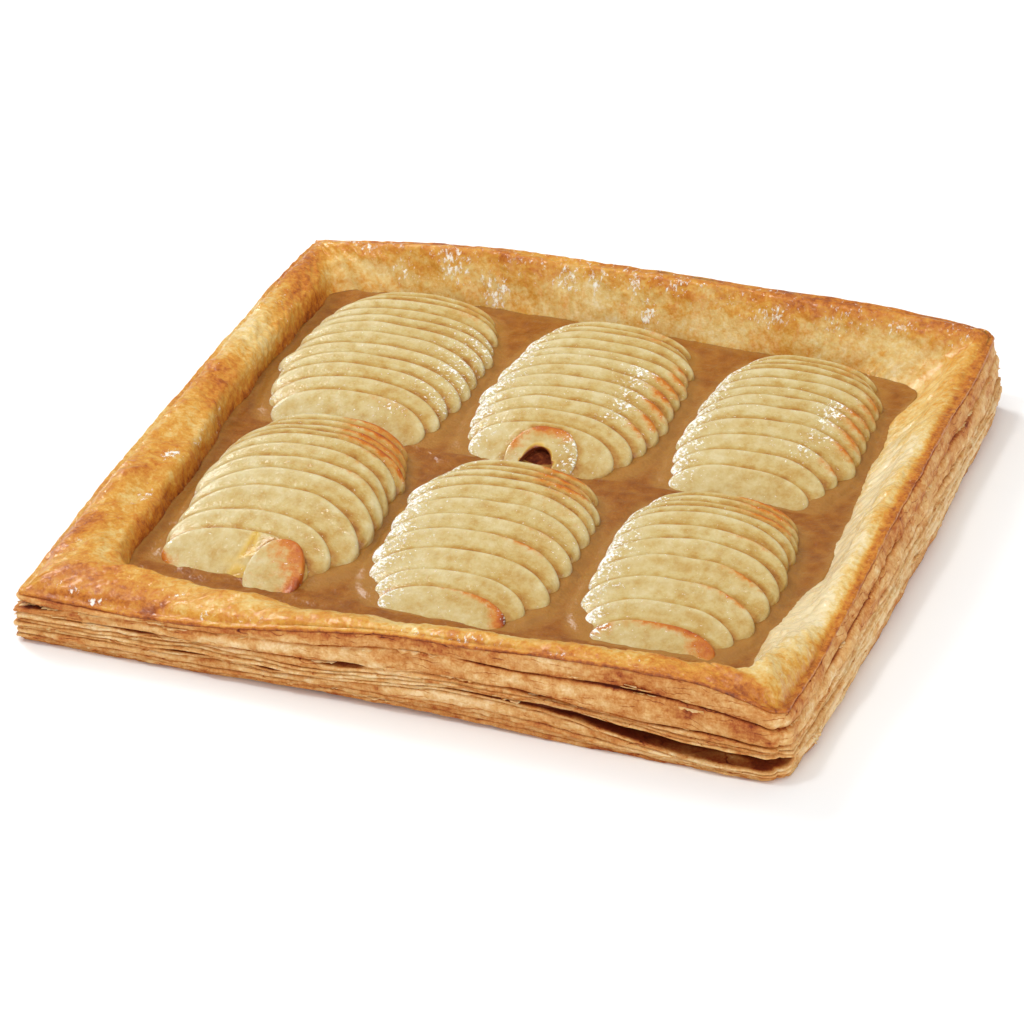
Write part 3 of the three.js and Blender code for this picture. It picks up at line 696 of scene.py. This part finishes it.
FLAKES = 300
FLAKE_THICK = 0.22
# One large flake stands out of the right side near the front corner.
LARGE_FLAKE = (1.105, 0.3, 9, 4.2, 0.5)
# X, Y and height of each scrap, and its half-sizes.
SCRAPS = [(-145, -145.5, 14.6, 3.4, 2.8, 1.7), (-141.5, -147, 15.2, 2.2, 1.5, 1.3),
          (137, -144, 8.4, 4.4, 2.6, 1.1), (142, -141, 6.9, 2.6, 2.4, 1.3), (132, -143, 6.6, 2.2, 1.8, 0.8)]

draw = np.random.default_rng(21)
flakes = [LARGE_FLAKE]
for _ in range(FLAKES):
    at = draw.uniform(0, 4)
    line = draw.choice([FINE_TOP, SPLIT, MIDDLE, UNDER_BORDER])
    share = smooth_keys(line, np.array(at)) + draw.uniform(-0.03, 0.03)
    length, reach, tip = draw.uniform(3, 14), draw.uniform(0.7, 2.2), draw.uniform(-1.4, 1.4)
    in_the_gap = 0.6 < at < 1.08 and share < 0.42
    if not in_the_gap:
        flakes.append((at, share, length, reach, tip))


def joined(pieces, onto):
    """Makes one mesh of several pieces, on the one that is given, and gives it back."""
    bpy.ops.object.select_all(action="DESELECT")
    for piece in pieces:
        piece.select_set(True)
    bpy.context.view_layer.objects.active = onto
    bpy.ops.object.join()
    return bpy.context.object


def new_ball(segments, rings):
    """A ball of radius 1, of that many segments and rings, to be shaped."""
    bpy.ops.object.select_all(action="DESELECT")
    bpy.ops.mesh.primitive_uv_sphere_add(segments=segments, ring_count=rings, radius=1)
    return bpy.context.object


def at_place(values, place):
    """What a value of the case's stations is at places between them."""
    return np.interp(place, AROUND[:-8], values[:-8])


pieces = []
for number, (at, share, length, reach, tip) in enumerate(flakes):
    flake, column, row = new_grid(14, 4)
    u, v = column / 7 - 1, row / 4
    place = (at + u * length / 2 / SIDE) % 4
    ragged = 0.75 + 0.3 * wander(u * length, 0 * u, 1.7, 1, 700 + number)
    free = v * ragged * np.sqrt(np.clip(1 - u ** 4, 0, 1))
    height = at_place(EDGE_HEIGHT, place) * share
    height += tip * free * reach * 0.6 + 0.35 * wander(u * length, v, 5, 1, 900 + number)
    swell = at_place(SWELL, place) * np.interp(share, [0, 0.3, 1], [0.85, 1, 0.3])
    inset = at_place(WOBBLE, place) - swell + 1.0 - free * (reach + 1.4)
    x, y = ring_place(place, np.maximum(inset, -at_place(OUTERMOST, place)), 0)
    lay(flake, x, y, height)
    paint(flake, "toast", 0.02 + 0.2 * v + 0.15 * wander(u * length, v, 4, 1, 1100 + number))
    paint(flake, "crevice", 0 * v)
    pieces.append(flake)
leaves = joined(pieces, pieces[0])
thickness = leaves.modifiers.new("thickness", "SOLIDIFY")
thickness.thickness = FLAKE_THICK * MM
thickness.offset = 0
bpy.ops.object.modifier_apply(modifier="thickness")

pieces = [leaves]
for number, (x, y, z, long, deep, high) in enumerate(SCRAPS):
    scrap = new_ball(40, 24)
    a, b, c = vertex_places(scrap).T
    crumple = 1 + 0.3 * wander(a * 10 + 200, (b + c) * 10 + 200, 6, 6, 1500 + number)
    crumple += 0.16 * wander(a * 10 + 200, (b - c) * 10 + 200, 2.6, 2.6, 1520 + number)
    lay(scrap, x + a * long * crumple, y + b * deep * crumple, z + c * high * crumple)
    crumbs = 0.1 * wander(a * 10 + 200, b * 10 + 200, 4, 4, 1540)
    # Each scrap is painted darker towards its underside.
    paint(scrap, "toast", 0.15 + 0.2 * np.clip(-c, 0, 1) + crumbs)
    paint(scrap, "crevice", 0 * a)
    pieces.append(scrap)
flaked = joined(pieces, leaves)
flaked.name = flaked.data.name = "pastry_flakes"
bpy.ops.object.shade_smooth()
flaked.data.materials.append(leafy.material)

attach(flaked, "root")
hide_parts("pastry_case")

# --------------------------------------------------------------------------------------------- the compote
# Stewed apple spread over the base, set soft and glossy. It fills the basin up to the rim, in smooth lumps,
# and runs up a little where it meets the pastry.

BASIN_FLOOR = 9
GRID = 280
# The six fans, as the solids have them: the Y of the first slice's foot, how many slices, and, from the
# front to the back, the X of their middle, the step to the next foot, the angle above the flat at which
# a slice lies, its half-width, and its height up the lean.
FANS = {
    "apple_front_left": (-106, 11, [-84, -78, -81, -81, -81], [7, 12, 11, 8.5, 8], [26, 28, 30, 32, 36],
                         [32, 40, 40.5, 39.5, 33], [24, 36, 34, 27, 20]),
    "apple_front_middle": (-110, 11, [3.5, 3, 1.5, 1, 1.5], [6, 12, 11, 8, 7], [24, 25, 27, 30, 36],
                           [27, 39, 40, 39.5, 33], [17, 27, 28, 24, 18]),
    "apple_front_right": (-106, 11, [85, 85, 84, 83, 83], [7, 12, 10.5, 8, 7], [24, 25, 27, 30, 36],
                          [26, 37.5, 38, 37, 32], [16, 28, 30, 24, 17]),
    "apple_back_left": (12, 12, [-83, -85, -85.5, -86, -86], [7, 10, 10, 9, 8], [26, 27, 28, 30, 36],
                        [35, 42, 43, 41, 33], [24, 28, 26, 22, 16]),
    "apple_back_middle": (12, 12, [-1, 1, 1, 0, -1], [7, 10, 10, 9, 8], [26, 27, 28, 30, 36],
                          [33, 41, 41, 39.5, 33], [24, 28, 26, 22, 16]),
    "apple_back_right": (12, 12, [82, 84, 84, 83, 82], [7, 10, 10, 8.5, 7.5], [26, 27, 28, 30, 36],
                         [30, 38, 38, 36.5, 30], [18, 28, 27, 23, 16]),
}
FOOT_LEVEL = 15
SYRUP_CLIMB = 1.2


def fan_slices(front, count, middles, steps, leans, half_widths, tops):
    """Foot, step, middle, lean, half-width and height of a fan's slices, from the front to the back."""
    slices = []
    foot = front
    for i in range(count):
        t = i / (count - 1)
        step = through(steps, t)
        middle = through(middles, t) + 0.4 * math.sin(2.9 * i + front)
        half_width = through(half_widths, t) + 0.6 * math.sin(2.3 * i + middles[0])
        top = through(tops, t) + 0.5 * math.sin(1.7 * i + middles[0])
        slices.append((foot, step, middle, math.radians(through(leans, t)), half_width, top))
        foot += step
    return slices


compote, column, row = new_grid(GRID, GRID)
compote.name = compote.data.name = "compote_layer"
u, v = column * 2 / GRID - 1, row * 2 / GRID - 1
reach = np.maximum(np.abs(u), np.abs(v)) + 1e-9
quarter = np.where(np.abs(v) >= np.abs(u), np.where(v < 0, 0, 2), np.where(u > 0, 1, 3))
share = np.choose(quarter, [u, v, -u, -v]) / reach
place = (quarter + 0.5 + share * 0.5) % 4
width = smooth_keys(BORDER_WIDTH, place) + 1.1 * ripple(place, 8, (11, 19, 27))
x, y = ring_place(place, width - 0.6, 1)
x, y = x * reach, y * reach
shore = SIDE / 2 - width - np.maximum(np.abs(x), np.abs(y))
lumps = 0.65 * wander(x + 200, y + 200, 14, 11, 801) + 0.35 * wander(x + 200, y + 200, 5, 4, 802)
lumps += 0.16 * wander(x + 200, y + 200, 2, 1.6, 803)
climb = 0.6 * np.exp(-np.maximum(shore, 0) / 2)
syrup = 0 * x
for fan in FANS.values():
    feet, _, middles, _, half_widths, _ = np.array(fan_slices(*fan)).T
    # The half's round back goes on beyond its last slice's foot.
    ends = feet[-1] + np.array([9, 15, 19])
    feet = np.concatenate([feet + 1, ends])
    half_widths = np.concatenate([half_widths, half_widths[-1] * np.array([0.96, 0.8, 0.3])])
    middle = np.interp(y, feet[:-3], middles)
    beside = np.abs(x - middle) - np.interp(y, feet, half_widths, left=-20, right=-20)
    beside = beside + 0.8 * wander(x + 200, y + 200, 6, 6, 804)
    behind_front = np.clip((y - feet[0] - 2) / 7, 0, 1)
    climb = np.maximum(climb, SYRUP_CLIMB * np.clip((1.2 - beside) / 2.6, 0, 1) * behind_front)
    syrup = np.maximum(syrup, np.clip(1.1 - np.maximum(beside, 0) / 6, 0, 1))
syrup = np.maximum(syrup, np.exp(-np.maximum(shore, 0) / 2.5))
lay(compote, x, y, COMPOTE_TOP - 0.1 + lumps * (1 - 0.6 * syrup) + climb)
paint(compote, "syrup", syrup)

bpy.ops.object.mode_set(mode="EDIT")
bpy.ops.mesh.select_all(action="SELECT")
bpy.ops.mesh.region_to_loop()
bpy.ops.mesh.extrude_region_move(TRANSFORM_OT_translate={"value": (0, 0, (BASIN_FLOOR - COMPOTE_TOP) * MM)})
bpy.ops.mesh.edge_face_add()
bpy.ops.mesh.select_all(action="SELECT")
bpy.ops.mesh.normals_make_consistent(inside=False)
bpy.ops.object.mode_set(mode="OBJECT")
bpy.ops.object.shade_smooth()

stewed = Finish("stewed_apple", 0.32, Subsurface_Weight=0.2, Subsurface_Scale=0.002,
                Subsurface_Radius=(1.0, 0.5, 0.15), Coat_Weight=0.5, Coat_Roughness=0.15, Coat_IOR=1.4,
                Specular_IOR_Level=0.08)
pulp = stewed.grain(5, 4, 0.6)
fibres = stewed.grain(1.3, 3, 0.6)
tone = stewed.sum(stewed.ranged(pulp, 0.3, 0.7, 0.1, 0.8), stewed.ranged(fibres, 0.3, 0.7, -0.12, 0.12),
                  clamp=True)
pulp_colour = stewed.ramp(tone, ((0.0, (163, 107, 41)), (0.4, (148, 89, 30)), (0.75, (132, 74, 23)),
                                 (1.0, (116, 60, 18))))
syrupy = stewed.sum(stewed.painted("syrup"), stewed.ranged(fibres, 0.35, 0.65, -0.2, 0.2), clamp=True)
stewed.colour(stewed.blend(stewed.ranged(syrupy, 0, 1, 0, 0.75), pulp_colour, tint(168, 120, 56)))
stewed.bump(stewed.grain(2.6, 3, 0.55), 0.6, 0.8)
stewed.bump(stewed.grain(0.9, 2, 0.5), 0.5, 0.3)
compote.data.materials.append(stewed.material)

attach(compote, "root")
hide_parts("compote")

# ----------------------------------------------------------------------------------------- the apple halves
# Six peeled halves, each cut across in thin slices that are pushed over so that they lie on each other like
# roof tiles. The cut faces stay pale and wet with glaze, and the edges have caught colour in the oven.

SQUARENESS = 2.4
# A slice's corners are round at the foot: how far they turn in, and from how high, as shares of its sizes.
TUCKED = 0.3
TUCKED_HIGH = 0.55
BURIED = 8
SLICE_SIDES = 118
# The share of a slice's outline that runs over its round edge, the height of the middle of its face as a
# share of its own, how far it reaches into the next slice, and how thick it is at most.
OVER_SHARE = 0.84
FACE_MIDDLE = 0.35
OVERLAP = 0.2
THICKEST = 5.6
# A slice from the middle of its front face, over its rounded edge, to the middle of its back: how far out
# each ring lies, and how deep behind the face, as a share of the slice's thickness.
FACE_RINGS = [(out, 0) for out in (0.35, 0.52, 0.62, 0.69, 0.745, 0.79, 0.83, 0.865, 0.895)]
SLICE_RINGS = FACE_RINGS + [
    (0.92, 0), (0.942, 0.012), (0.961, 0.045), (0.977, 0.1), (0.99, 0.19), (0.998, 0.31), (1.0, 0.46),
    (1.0, 0.64), (1.0, 0.82), (0.992, 0.95), (0.95, 1), (0.7, 1), (0.35, 1)]
# The butt end of a half is a thick piece with a round back.
BUTT_RINGS = FACE_RINGS + [
    (0.92, 0.002), (0.942, 0.01), (0.961, 0.025), (0.98, 0.06), (0.995, 0.12), (1.0, 0.2), (0.985, 0.32),
    (0.95, 0.46), (0.88, 0.6), (0.77, 0.75), (0.6, 0.88), (0.4, 0.96), (0.2, 1)]
BUTT_THICK = 13
# Glaze has pooled against the back of each slice's edge, this wide, and up to this share of its step. Over
# the same width the slice behind is painted darker, painted shade against the edge in front.
POOL_WIDE = 7
POOL_SHARE = 0.5

# The small first slice of two halves, beside or round the core, has slid forward: foot, middle, angle,
# half-width, height and thickness. Its number is -1.
SMALL_SLICES = {
    "apple_front_left": (-110.6, -66, 26, 12, 26, 4.4),
    "apple_back_middle": (8.6, 0.3, 26, 15.8, 24.4, 2.6),
}
# Where the core was: slice, X of the middle, half-width, and height up the lean. Dark flesh closes the
# hollow at a depth under the first slice's face.
CORE_HOLES = {"apple_back_middle": [(-1, -0.8, 7.4, 13.6), (0, -0.8, 7, 12.6), (1, -0.8, 7, 7)]}
CORE_DEPTH = 4.2
# A wedge of the core's flesh shows in one slice's face, in the same terms and with how brown it is.
CORE_WEDGES = {"apple_front_left": [(0, -79.5, 6.5, 20, 0.5)]}
# Browned places: first and last slice, degrees round the edge from the right foot, reach in degrees, how
# far in from the edge they reach as a share of the slice, and how brown they are. The right flanks of two
# halves at the back have browned alike.
RIGHT_FLANK = [(4, 6, 42, 16, 0.1, 0.56), (2, 3, 40, 14, 0.09, 0.48), (7, 8, 36, 12, 0.09, 0.45)]
BROWNED = {
    "apple_front_left": [(-1, -1, 60, 62, 0.6, 0.6), (-1, -1, 8, 26, 0.6, 1.0), (-1, -1, 90, 200, 3, 0.12),
                         (7, 10, 55, 30, 0.1, 0.8), (8, 10, 50, 25, 0.3, 0.4), (0, 0, 172, 12, 0.3, 0.65),
                         (4, 6, 60, 15, 0.06, 0.3)],
    "apple_front_middle": [(0, 0, 42, 40, 0.15, 0.75), (0, 0, 22, 22, 0.2, 1.0), (0, 0, 80, 30, 0.08, 0.45),
                           (3, 3, 62, 18, 0.08, 0.55), (4, 4, 60, 20, 0.06, 0.4), (8, 10, 62, 22, 0.14, 0.65),
                           (6, 8, 55, 25, 0.2, 0.2)],
    "apple_front_right": [(0, 0, 72, 44, 0.2, 0.72), (0, 0, 30, 24, 0.4, 0.75), (0, 0, 150, 20, 0.2, 0.55),
                          (2, 3, 58, 20, 0.08, 0.5), (5, 5, 60, 20, 0.08, 0.4), (8, 10, 60, 26, 0.12, 0.65)],
    "apple_back_left": [(9, 11, 50, 20, 0.15, 0.25), (0, 0, 60, 24, 0.2, 0.25)],
    "apple_back_middle": RIGHT_FLANK + [(-1, -1, 88, 40, 0.22, 0.7), (-1, -1, 140, 30, 0.4, 0.4),
                                        (10, 11, 60, 12, 0.2, 0.35)],
    "apple_back_right": RIGHT_FLANK + [(10, 11, 60, 12, 0.2, 0.4)],
}
# Places with painted highlights, white glints on the glaze, given the same way.
SLICE_GLINTS_BACK = [(0, 11, 160, 28, 0.2, 1.4), (5, 6, 60, 12, 0.25, 1.0), (2, 4, 58, 12, 0.25, 0.9),
                (1, 9, 90, 50, 0.06, 0.35)]
SLICE_GLINTS = {
    "apple_front_left": [(-1, -1, 160, 30, 0.12, 0.9), (0, 10, 165, 16, 0.08, 0.7),
                         (0, 10, 130, 40, 0.04, 0.3)],
    "apple_front_middle": [(0, 10, 160, 28, 0.2, 1.4), (0, 0, 30, 16, 0.08, 0.7), (4, 8, 45, 20, 0.2, 0.3),
                           (0, 10, 120, 50, 0.05, 0.35)],
    "apple_front_right": [(0, 10, 160, 28, 0.2, 1.4), (0, 0, 50, 20, 0.1, 0.5), (0, 10, 120, 50, 0.05, 0.35)],
    "apple_back_left": [(0, 11, 164, 16, 0.14, 0.8), (2, 8, 40, 26, 0.2, 0.75), (0, 0, 60, 14, 0.5, 0.6)],
    "apple_back_middle": SLICE_GLINTS_BACK + [(-1, -1, 38, 34, 0.5, 0.9)],
    "apple_back_right": SLICE_GLINTS_BACK,
}


def slice_outline(t, half_width, top):
    """The edge of a slice, for t from 0 at the right foot over the top to the left one, and back below."""
    over = np.clip(t / OVER_SHARE, 0, 1) * math.pi
    below = np.clip((t - OVER_SHARE) / (1 - OVER_SHARE), 0, 1) * math.pi
    power = 2 / SQUARENESS
    up = top * np.abs(np.sin(over)) ** power
    x = half_width * np.sign(np.cos(over)) * np.abs(np.cos(over)) ** power
    under = np.clip(1 - up / (TUCKED_HIGH * top), 0, 1)
    x = x * (1 - TUCKED * (1 - np.sqrt(1 - under ** 2)))
    return (np.where(t <= OVER_SHARE, x, -half_width * (1 - TUCKED) * np.cos(below)),
            np.where(t <= OVER_SHARE, up, -BURIED * np.abs(np.sin(below)) ** 0.5))


def on_slice(x, y, z, foot, middle, lean, half_width, top):
    """Where places lie on a slice: across, up the lean, and how far out, which is 1 at the slice's edge."""
    across, up = x - middle, (y - foot) * math.cos(lean) + (z - FOOT_LEVEL) * math.sin(lean)
    out = (np.abs(across) / half_width) ** SQUARENESS + (np.maximum(up, 0) / top) ** SQUARENESS
    return across, up, out ** (1 / SQUARENESS)


def pool_and_shade(x, y, z, before):
    """1 at the edge of the slice in front, falling to 0 where the pool of glaze against it, with its painted
    shade, ends.
    """
    across, up, out = on_slice(x, y, z, *before)
    beyond = (1 - 1 / np.maximum(out, 1)) * np.hypot(across, np.maximum(up, 0))
    return np.clip(1 - beyond / POOL_WIDE, 0, 1) * np.clip((up + 2) / 3, 0, 1)


def cut_slice(seed, foot, middle, lean, half_width, top, thick, rings, before):
    """One slice: a sphere whose rings are laid out over the face, round the edge and over the back."""
    piece = new_ball(SLICE_SIDES, len(rings) + 1)
    places = vertex_places(piece)
    ring = np.arccos(np.clip(places[:, 2], -1, 1)) / math.pi * (len(rings) + 1)
    out = np.interp(ring, range(len(rings) + 2), [0] + [r[0] for r in rings] + [0])
    deep = np.interp(ring, range(len(rings) + 2), [0] + [r[1] for r in rings] + [1]) * thick
    turn = np.arctan2(places[:, 1], places[:, 0]) / (2 * math.pi) % 1
    edge_x, edge_up = slice_outline(turn, half_width, top)
    edge_x = edge_x * (1 + 0.014 * wander(edge_up + 300, 0 * edge_x, 11, 1, seed))
    edge_up = edge_up * (1 + 0.018 * wander(edge_x + 300, 0 * edge_x, 13, 1, seed + 1))
    x, up = edge_x * out, top * FACE_MIDDLE + (edge_up - top * FACE_MIDDLE) * out
    # The slices of one half are bent alike, because they lie on each other.
    bend = 0.5 * wander(x + 300, up + 60, 26, 18, seed // 100) + 0.14 * wander(x + 300, up + 60, 7, 5, seed)
    normal = -deep + bend
    x, y, z = middle + x, foot + up * math.cos(lean), FOOT_LEVEL + up * math.sin(lean)
    if before:
        step = (foot - before[0]) * math.sin(lean)
        normal = normal + POOL_SHARE * step * pool_and_shade(x, y, z, before) ** 2 * (deep < 0.1)
    lay(piece, x, y - normal * math.sin(lean), z + normal * math.cos(lean))
    piece.data.materials.append(juicy.material)
    return piece


def core_ball(at, foot, lean, half_sizes, deep):
    """A ball of the core's shape, square to a slice's face, with its middle that deep under the face."""
    ball = new_ball(48, 24)
    ball.scale = [size * MM for size in half_sizes]
    ball.rotation_euler = (lean, 0, 0)
    ball.location = (at * MM, (foot + deep * math.sin(lean)) * MM, (FOOT_LEVEL - deep * math.cos(lean)) * MM)
    return ball


def bore_core(piece, at, foot, lean, half_width, height, thick):
    """Takes the core's hollow out of a slice."""
    core = core_ball(at, foot, lean, (half_width, height, thick + 6), thick / 2)
    bpy.context.view_layer.objects.active = piece
    hollow = piece.modifiers.new("hollow", "BOOLEAN")
    hollow.operation = "DIFFERENCE"
    hollow.object = core
    bpy.ops.object.modifier_apply(modifier="hollow")
    bpy.data.objects.remove(core)


def colour_slice(piece, number, name, size, thick, before):
    """Paints what the oven and the glaze did to a slice, with painted light and shade, by how far round and
    how far in a place lies.
    """
    x, y, z = vertex_places(piece).T / MM
    foot, middle, lean, half_width, top = size
    across, up, out = on_slice(x, y, z, *size)
    deep = (y - foot) * math.sin(lean) - (z - FOOT_LEVEL) * math.cos(lean)
    turn = np.degrees(np.arctan2(up / top, across / half_width))
    for kind, table in (("browned", BROWNED), ("glint_spots", SLICE_GLINTS)):
        mark = 0 * x
        for first, last, at, reach, reach_in, strength in table[name]:
            if first <= number <= last:
                near = hump(turn, at, reach * 1.6) * np.clip(1 - (1 - out) / reach_in / 1.6, 0, 1) ** 1.2
                mark = np.maximum(mark, strength * near * (1 + 0.3 * wander(x + 300, y + 300, 5, 4, 31)))
        paint(piece, kind, mark)
    core = 0 * x
    for index, at, wide, high in CORE_HOLES.get(name, []):
        if index == number:
            core = np.clip(1 - (np.hypot((x - at) / wide, np.maximum(up, 0) / high) - 1) / 0.05, 0, 1)
    for index, at, wide, high, shade in CORE_WEDGES.get(name, []):
        if index == number:
            core = shade * np.clip(2 - 2 * np.abs(x - at) / wide - up / high, 0, 1)
    paint(piece, "core", core)
    paint(piece, "edge", np.clip((out - 0.88) / 0.1, 0, 1))
    paint(piece, "deep", np.clip(deep / max(thick, 0.1), 0, 1))
    paint(piece, "pool_shade", pool_and_shade(x, y, z, before) if before else 0 * x)
    paint(piece, "right", across / half_width)


juicy = Finish("baked_apple", 0.36, Subsurface_Weight=0.25, Subsurface_Scale=0.0012,
               Subsurface_Radius=(1.0, 0.65, 0.25), Coat_Weight=0.6, Coat_Roughness=0.09, Coat_IOR=1.42,
               Specular_IOR_Level=0.06)
flesh = juicy.grain(6, 4, 0.55)
speckle = juicy.grain(1.2, 3, 0.55)
tone = juicy.sum(juicy.ranged(flesh, 0.3, 0.7, 0.06, 0.52), juicy.ranged(speckle, 0.3, 0.7, -0.07, 0.07))
# The rim of each slice is painted paler: partly the paler flesh under the peel, partly a painted highlight
# along the edge.
tone = juicy.sum(tone, juicy.ranged(juicy.painted("edge"), 0, 1, 0, -0.24))
# Painted shade: darker where each slice lies against the edge of the one in front.
tone = juicy.sum(tone, juicy.ranged(juicy.painted("pool_shade"), 0.5, 1.0, 0, 0.46))
# Painted light and shade: each slice is darker on its right side, away from the light, and paler on its left.
tone = juicy.sum(tone, juicy.ranged(juicy.painted("right"), -1, 1, -0.1, 0.16), clamp=True)
flesh_colour = juicy.ramp(tone, ((0.0, (208, 192, 146)), (0.3, (196, 172, 113)), (0.55, (184, 148, 78)),
                                 (0.8, (168, 117, 49)), (1.0, (142, 89, 31))))
# The sides and back of each slice, seen in the gaps between them, turn caramel: partly syrup, partly painted
# shade.
syrup_and_shade = juicy.ranged(juicy.painted("deep"), 0.55, 1.0, 0, 0.6)
flesh_colour = juicy.blend(syrup_and_shade, flesh_colour, tint(166, 118, 60))
scorch = juicy.sum(juicy.painted("browned"), juicy.ranged(juicy.grain(2.6, 3, 0.6), 0.3, 0.7, -0.14, 0.14))
scorched = juicy.ramp(scorch, ((0.0, (202, 160, 84)), (0.35, (197, 122, 38)), (0.65, (176, 84, 18)),
                               (1.0, (104, 28, 12))))
flesh_colour = juicy.blend(juicy.ranged(scorch, 0.1, 0.4), flesh_colour, scorched)
hollow_colour = juicy.ramp(juicy.painted("core"), ((0.0, (224, 196, 120)), (0.4, (202, 164, 68)),
                                                   (0.75, (164, 96, 42)), (1.0, (112, 50, 26))))
flesh_colour = juicy.blend(juicy.ranged(juicy.painted("core"), 0.05, 0.35), flesh_colour, hollow_colour)
# Painted highlights: white glints where the noise peaks, many more where glints were painted on the slice.
painted_glints = juicy.sum(juicy.grain(1.3, 4, 0.62), juicy.sum(juicy.painted("glint_spots"), 0.2, "MULTIPLY"))
painted_glints = juicy.ranged(painted_glints, 0.66, 0.75)
juicy.colour(juicy.blend(painted_glints, flesh_colour, tint(255, 252, 240)))
juicy.bump(juicy.grain(2.4, 3, 0.55), 0.5, 0.7)
juicy.bump(juicy.grain(1.0, 2, 0.5), 0.5, 0.3)
juicy.bump(painted_glints, 0.6, 0.3)

hollow_floor = Finish("core_hollow", 0.8, Specular_IOR_Level=0.05)
hollow_floor.colour(hollow_floor.ramp(hollow_floor.grain(2.2, 4, 0.6), (
    (0.3, (146, 78, 40)), (0.5, (112, 50, 26)), (0.7, (76, 30, 18)))))
hollow_floor.bump(hollow_floor.grain(1.4, 3, 0.6), 0.8, 0.8)


def line_core(at, foot, lean, half_width, height):
    """The dark, dry lump of flesh that closes the core's hollow."""
    lump = core_ball(at, foot, lean, (1.5 * half_width, 1.4 * height, 2), CORE_DEPTH)
    bpy.ops.object.transform_apply()
    lump.data.materials.append(hollow_floor.material)
    return lump


for fan_number, (name, fan) in enumerate(FANS.items()):
    pieces = []
    draw = np.random.default_rng(300 + fan_number)
    small = None
    if name in SMALL_SLICES:
        foot, middle, lean, half_width, top, thick = SMALL_SLICES[name]
        small = (foot, middle, math.radians(lean), half_width, top)
        piece = cut_slice(2095 + 100 * fan_number, *small, thick, SLICE_RINGS, None)
        for index, at, wide, high in CORE_HOLES.get(name, []):
            if index == -1:
                bore_core(piece, at, foot, small[2], wide, high, thick)
                pieces.append(line_core(at, foot, small[2], wide, high))
        colour_slice(piece, -1, name, small, thick, None)
        pieces.append(piece)
    before = small
    slices = fan_slices(*fan)
    for number, (foot, step, middle, lean, half_width, top) in enumerate(slices):
        butt = number == len(slices) - 1
        thick = BUTT_THICK if butt else min(step * math.sin(lean) + OVERLAP, THICKEST)
        rings = BUTT_RINGS if butt else SLICE_RINGS
        size = (foot + draw.uniform(-0.5, 0.5), middle + draw.uniform(-0.5, 0.5), lean, half_width, top)
        piece = cut_slice(2000 + 100 * fan_number + 7 * number, *size, thick, rings, before)
        for index, at, wide, high in CORE_HOLES.get(name, []):
            if index == number:
                bore_core(piece, at, size[0], lean, wide, high, thick)
        colour_slice(piece, number, name, size, thick, before)
        pieces.append(piece)
        before = size
    half = joined(pieces, pieces[-1])
    half.name = half.data.name = name.replace("apple", "sliced")
    bpy.ops.object.shade_smooth()
    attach(half, "root")
    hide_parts(name)

# ------------------------------------------------------------------------------- the table, light and camera
# A wide white sheet to stand on, in a bright even room: a large soft box overhead, a window high on the left
# and a little behind, and broad fills in front and on the right. The camera stands where the photograph was
# taken from.

TABLE_WIDE = 12
ROOM_LIGHT = 0.3

bpy.ops.object.select_all(action="DESELECT")
bpy.ops.mesh.primitive_plane_add(size=TABLE_WIDE)
table = bpy.context.object
table.name = table.data.name = "table"
paper = Finish("pale_paper", 0.9, Specular_IOR_Level=0.1)
paper.colour(paper.ramp(paper.grain(60, 2, 0.5), ((0.0, (248, 248, 247)), (1.0, (251, 251, 250)))))
table.data.materials.append(paper.material)

room = bpy.data.worlds.new("room")
room.use_nodes = True
room.node_tree.nodes["Background"].inputs["Color"].default_value = (1, 1, 1, 1)
room.node_tree.nodes["Background"].inputs["Strength"].default_value = ROOM_LIGHT
bpy.context.scene.world = room
bpy.context.scene.view_settings.view_transform = "Standard"


def soft_light(name, place, size, watts):
    """A square soft box that looks at the tart from a place in metres."""
    bpy.ops.object.light_add(type="AREA", location=place)
    light = bpy.context.object
    light.name = light.data.name = name
    light.data.size = size
    light.data.energy = watts
    light.rotation_euler = (Vector((0, 0, 0)) - light.location).to_track_quat("-Z", "Y").to_euler()


soft_light("window", (-1.35, 0.75, 1.35), 0.6, 18)
soft_light("low_window", (-1.6, 1.0, 0.7), 0.16, 3)
soft_light("overhead", (0.1, -0.2, 2.2), 3.4, 30)
soft_light("overhead_lamp", (-0.6, -0.5, 1.9), 0.25, 8)
soft_light("front_fill", (0.2, -2.4, 0.9), 1.6, 18)
soft_light("right_fill", (2.1, -0.5, 0.8), 1.3, 14)

CAMERA_PLACE = Vector((0.53837, -1.51015, 0.92889))
CAMERA_LOOKS = Vector((-0.29358, 0.81458, -0.50027)).normalized()
CAMERA_ROLL = math.radians(-0.26)
LENS = 164.2
SENSOR = 36

level = CAMERA_LOOKS.cross(Vector((0, 0, 1))).normalized()
upright = level.cross(CAMERA_LOOKS)
right = math.cos(CAMERA_ROLL) * level + math.sin(CAMERA_ROLL) * upright
up = math.cos(CAMERA_ROLL) * upright - math.sin(CAMERA_ROLL) * level
bpy.ops.object.camera_add()
camera = bpy.context.object
turned = Matrix((right, up, -CAMERA_LOOKS)).transposed().to_4x4()
camera.matrix_world = Matrix.Translation(CAMERA_PLACE) @ turned
camera.data.lens = LENS
camera.data.sensor_width = SENSOR
camera.data.sensor_fit = "HORIZONTAL"
bpy.context.scene.camera = camera
